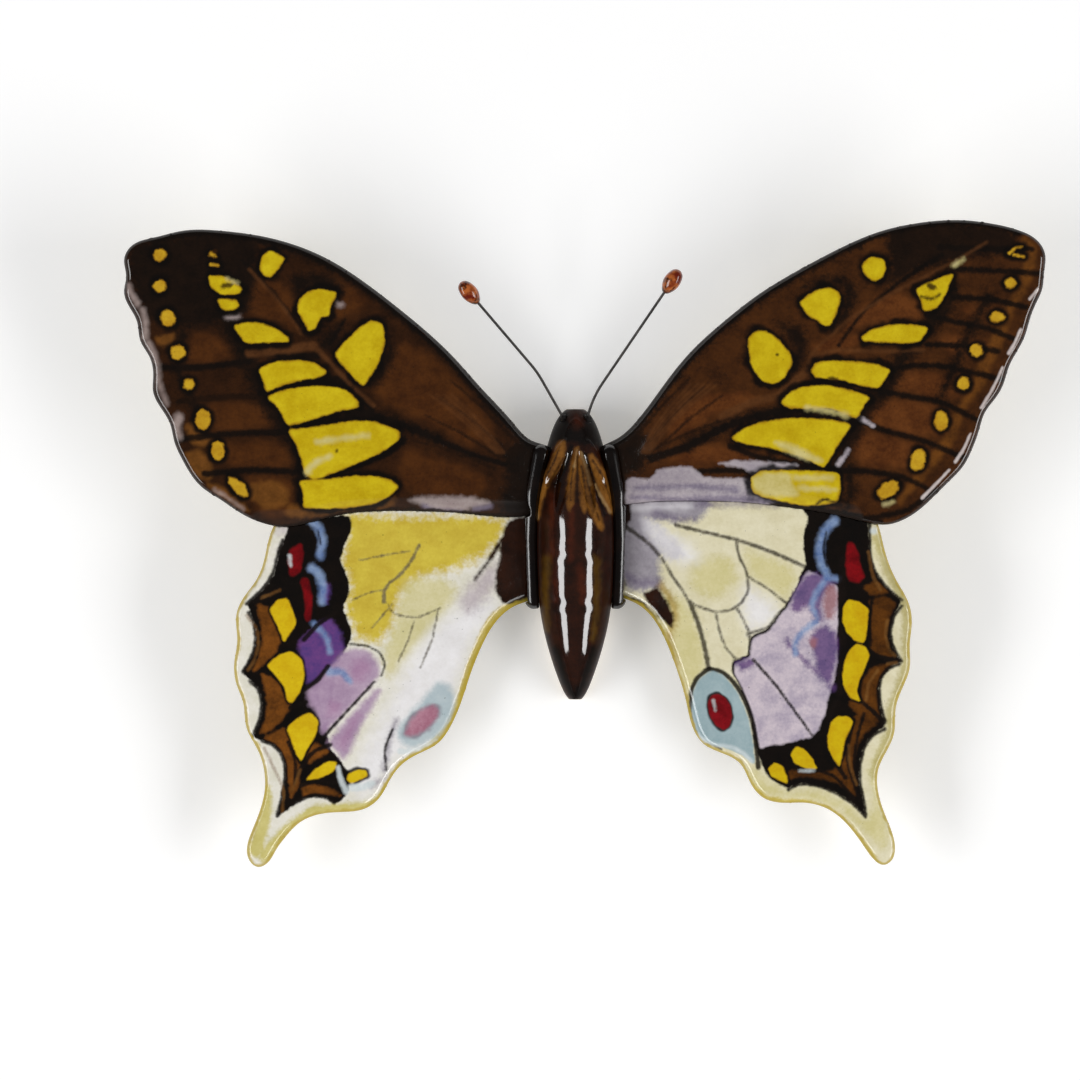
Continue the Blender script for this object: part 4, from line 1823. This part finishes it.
@dataclass(frozen=True)
class AntennaBead:
    """The bead on the end of one antenna.

    The wire's last bend and the bead's middle are given from the socket, in shares of the
    wire's reach.
    """

    side: int
    reach_mm: float
    bend: Tuple[float, float, float]
    middle: Tuple[float, float, float]
    half_width_mm: float = 1.27
    half_length_mm: float = 2.06
    waist_share: float = 0.97
    fuller_share: float = 0.12
    lump_shares: Tuple[float, float] = (0.025, 0.02)
    rings: int = 24
    sectors: int = 48

    @property
    def node(self) -> str:
        """The fixed piece that the bead stands for."""
        return ("left" if self.side < 0 else "right") + "_antenna_club"

    def build(self) -> bpy.types.Object:
        """Make the bead: a drop of clay pushed on the wire, fuller at its far end.

        Returns:
            The bead.
        """
        beside, along, up = SOCKET_MM
        socket = Vector((BODY_AXIS_MM + self.side * beside, along, up))
        bend, middle = (socket + Vector(share) * self.reach_mm for share in (self.bend, self.middle))
        outward = (middle - bend).normalized()
        form = bmesh.new()
        bmesh.ops.create_uvsphere(form, u_segments=self.sectors, v_segments=self.rings, radius=1.0)
        for vert in form.verts:
            sideways = self.lump_shares[0] * math.sin(5 * vert.co.x + 2)
            lengthways = self.lump_shares[1] * math.sin(6 * vert.co.y + 4 * vert.co.z)
            full = self.waist_share + self.fuller_share * vert.co.z + (sideways + lengthways)
            vert.co.x *= full
            vert.co.y *= full
        size = (self.half_width_mm * MM, self.half_width_mm * MM, self.half_length_mm * MM)
        bmesh.ops.scale(form, vec=size, verts=form.verts)
        turn = Vector((0, 0, 1)).rotation_difference(outward).to_matrix()
        bmesh.ops.rotate(form, cent=(0, 0, 0), matrix=turn, verts=form.verts)
        bmesh.ops.translate(form, vec=middle * MM, verts=form.verts)
        bmesh.ops.recalc_face_normals(form, faces=form.faces)
        mesh = bpy.data.meshes.new(self.node + "_bead")
        form.to_mesh(mesh)
        form.free()
        piece = bpy.data.objects.new(self.node + "_bead", mesh)
        bpy.context.scene.collection.objects.link(piece)
        layer = np.array([(vert.co / MM - middle).dot(outward) for vert in mesh.vertices])
        write_layer(mesh, "along", layer / self.half_length_mm)
        dress(piece, self.material(), "club_glaze", self.node)
        return piece

    def material(self) -> bpy.types.Material:
        """Amber to red-brown glaze, dark where it meets the wire.

        Returns:
            The material.
        """
        material, graph = new_material(self.node + "_bead")
        share = graph.noise(grain_mm=1.6, detail=3.0).between(0.38, 0.62)
        colour = graph.blend(share, paint("6a1e0e"), paint("b86430"))
        blotch = graph.noise(grain_mm=1.1).between(0.56, 0.68)
        colour = graph.blend(blotch * 0.8, colour, paint("260c06"))
        dark = 1.0 - (graph.layer("along") + (graph.noise(grain_mm=0.9) - 0.5)).between(-1.0, -0.3)
        colour = graph.blend(dark, colour, paint("180a06"))
        GlazeFinish(ripple_mm=0.02).surface(graph, colour)
        return material


WIRE_FINISH = DullFinish("201d1b", "403b38", roughness=0.4, grain_mm=0.25, bump_mm=0.004)
CLAY_FINISH = DullFinish("c8b492", "e0d2b6", roughness=0.82, grain_mm=0.25, bump_mm=0.035)


@dataclass(frozen=True)
class KeptPiece:
    """A fixed piece whose shape is right, and that only gets its finish."""

    node: str
    finish: DullFinish

    def build(self) -> None:
        """Put the finish on the fixed piece."""
        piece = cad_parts[self.node]
        material = self.finish.material(self.node + "_finish")
        if not piece.material_slots:
            piece.data.materials.append(material)
        for slot in piece.material_slots:
            slot.material = material
        LOG.info("%s: kept, with a new finish", self.node)


# The studio

@dataclass(frozen=True)
class SoftBox:
    """A soft lamp, placed by where it is seen from the object."""

    name: str
    sideways_deg: float
    forward_deg: float
    half_width_deg: float = 9.0
    half_height_deg: float = 23.0
    power_w: float = 7.3
    far_m: float = 1.2

    def build(self) -> None:
        """Hang the lamp, facing the object."""
        sideways = math.tan(math.radians(self.sideways_deg))
        forward = math.tan(math.radians(self.forward_deg))
        place = Vector((sideways, -forward, 1)).normalized() * self.far_m
        lamp = bpy.data.lights.new(self.name, "AREA")
        lamp.shape = "RECTANGLE"
        lamp.size = 2 * self.far_m * math.tan(math.radians(self.half_width_deg))
        lamp.size_y = 2 * self.far_m * math.tan(math.radians(self.half_height_deg))
        lamp.energy = self.power_w
        holder = bpy.data.objects.new(self.name, lamp)
        holder.location = place
        back = place.normalized()
        across = Vector((0, 1, 0)).cross(back).normalized()
        turn = Matrix((across, back.cross(across), back)).transposed()
        holder.rotation_euler = turn.to_euler()
        bpy.context.scene.collection.objects.link(holder)


@dataclass
class Studio:
    """A pale table, a soft surround with a dark ceiling, two soft boxes and the camera."""

    middle_px: Point = (540.0, 540.0)
    camera_far_m: float = 1.5
    camera_level_mm: float = 12.0
    sensor_mm: float = 36.0
    floor_m: float = 6.0
    floor_gap_mm: float = 0.02
    floor_colour: str = "f4f4f4"
    floor_glow: float = 0.22
    fill: float = 0.37
    ceiling: float = 0.05
    ceiling_slope: Tuple[float, float] = (0.02, 0.12)
    boxes: Tuple[SoftBox, ...] = (
        SoftBox("left_soft_box", sideways_deg=-52.5, forward_deg=25.0),
        SoftBox("right_soft_box", sideways_deg=53.5, forward_deg=27.0),
    )

    def build(self) -> None:
        """Make the whole studio."""
        self.table()
        self.world()
        for box in self.boxes:
            box.build()
        self.camera()

    def rays(self, graph: Graph) -> Tuple[Signal, Signal]:
        """1 for camera rays, and 1 for camera, mirrored and transmitted ones.

        Args:
            graph: the graph that asks.

        Returns:
            The two signals.
        """
        path = graph.make("ShaderNodeLightPath", {}, {})
        camera = Signal(graph, path.outputs["Is Camera Ray"])
        glossy = Signal(graph, path.outputs["Is Glossy Ray"])
        passing = Signal(graph, path.outputs["Is Transmission Ray"])
        return camera, (camera + glossy + passing).clamped()

    def table(self) -> None:
        """The plain pale table that the ornament lies on."""
        form = bmesh.new()
        bmesh.ops.create_grid(form, x_segments=1, y_segments=1, size=self.floor_m / 2)
        bmesh.ops.translate(form, vec=(0, 0, -self.floor_gap_mm * MM), verts=form.verts)
        mesh = bpy.data.meshes.new("table")
        form.to_mesh(mesh)
        form.free()
        floor = bpy.data.objects.new("table", mesh)
        bpy.context.scene.collection.objects.link(floor)
        material, graph = new_material("table")
        surface = graph.node(
            "ShaderNodeBsdfPrincipled", {},
            {"Base Color": paint(self.floor_colour), "Roughness": 0.7, "Specular IOR Level": 0.2},
        )
        seen = self.rays(graph)[1]
        glow = graph.node("ShaderNodeEmission", {}, {"Strength": seen * self.floor_glow})
        both = graph.node("ShaderNodeAddShader", {}, {0: surface, 1: glow})
        graph.make("ShaderNodeOutputMaterial", {}, {"Surface": both})
        mesh.materials.append(material)

    def world(self) -> None:
        """An even soft fill: white to the camera, and in mirrors white under a dark ceiling."""
        world = bpy.data.worlds.new("surround")
        world.use_nodes = True
        bpy.context.scene.world = world
        graph = Graph(world.node_tree)
        toward = graph.node("ShaderNodeTexCoord", {}, {}, "Generated")
        up = graph.node("ShaderNodeSeparateXYZ", {}, {0: toward}, "Z")
        camera_ray, seen = self.rays(graph)
        mirrored = 1.0 + up.between(*self.ceiling_slope) * (self.ceiling - 1.0)
        shown = camera_ray + (1.0 - camera_ray) * mirrored
        strength = seen * shown + (1.0 - seen) * self.fill
        back = graph.node("ShaderNodeBackground", {}, {"Color": (1, 1, 1, 1), "Strength": strength})
        graph.make("ShaderNodeOutputWorld", {}, {"Surface": back})

    def camera(self) -> None:
        """The camera, straight over the ornament, framed as the picture is."""
        across, along = PICTURE.plan([self.middle_px])[0]
        width_mm = PICTURE.frame_px[0] * PICTURE.scale
        lens = bpy.data.cameras.new("camera")
        lens.sensor_width = self.sensor_mm
        lens.lens = self.sensor_mm * self.camera_far_m / (width_mm * MM)
        lens.clip_end = 50.0
        eye = bpy.data.objects.new("camera", lens)
        eye.location = (across * MM, along * MM, self.camera_far_m + self.camera_level_mm * MM)
        bpy.context.scene.collection.objects.link(eye)
        bpy.context.scene.camera = eye
        bpy.context.scene.view_settings.view_transform = "Standard"


def main() -> None:
    """Dress the ornament piece by piece and light it."""
    logging.basicConfig(level=logging.INFO, format="%(message)s")
    Studio().build()
    pieces = [
        RIGHT_HINDWING, LEFT_HINDWING, RIGHT_FOREWING, LEFT_FOREWING, BODY,
        DarkClay("left_root_coil", "body_glaze", voxel_mm=0.14, smoothing=16, roughness=0.22, coat=0.6),
        DarkClay("right_root_coil", "body_glaze", voxel_mm=0.14, smoothing=16, roughness=0.22, coat=0.6),
        DarkClay("left_antenna_cement", "cement", voxel_mm=0.06, smoothing=3, roughness=0.6, coat=0.0),
        DarkClay("right_antenna_cement", "cement", voxel_mm=0.06, smoothing=3, roughness=0.6, coat=0.0),
        AntennaBead(
            side=-1, reach_mm=23.5, bend=(-0.160, 0.280, 0.105), middle=(-0.576, 0.764, 0.300),
        ),
        AntennaBead(
            side=1, reach_mm=24.1, bend=(0.033, 0.123, 0.042), middle=(0.503, 0.812, 0.297),
        ),
        KeptPiece("back_plate", CLAY_FINISH),
        KeptPiece("left_antenna_wire", WIRE_FINISH),
        KeptPiece("right_antenna_wire", WIRE_FINISH),
    ]
    for piece in pieces:
        piece.build()


if __name__ == "__main__":
    main()
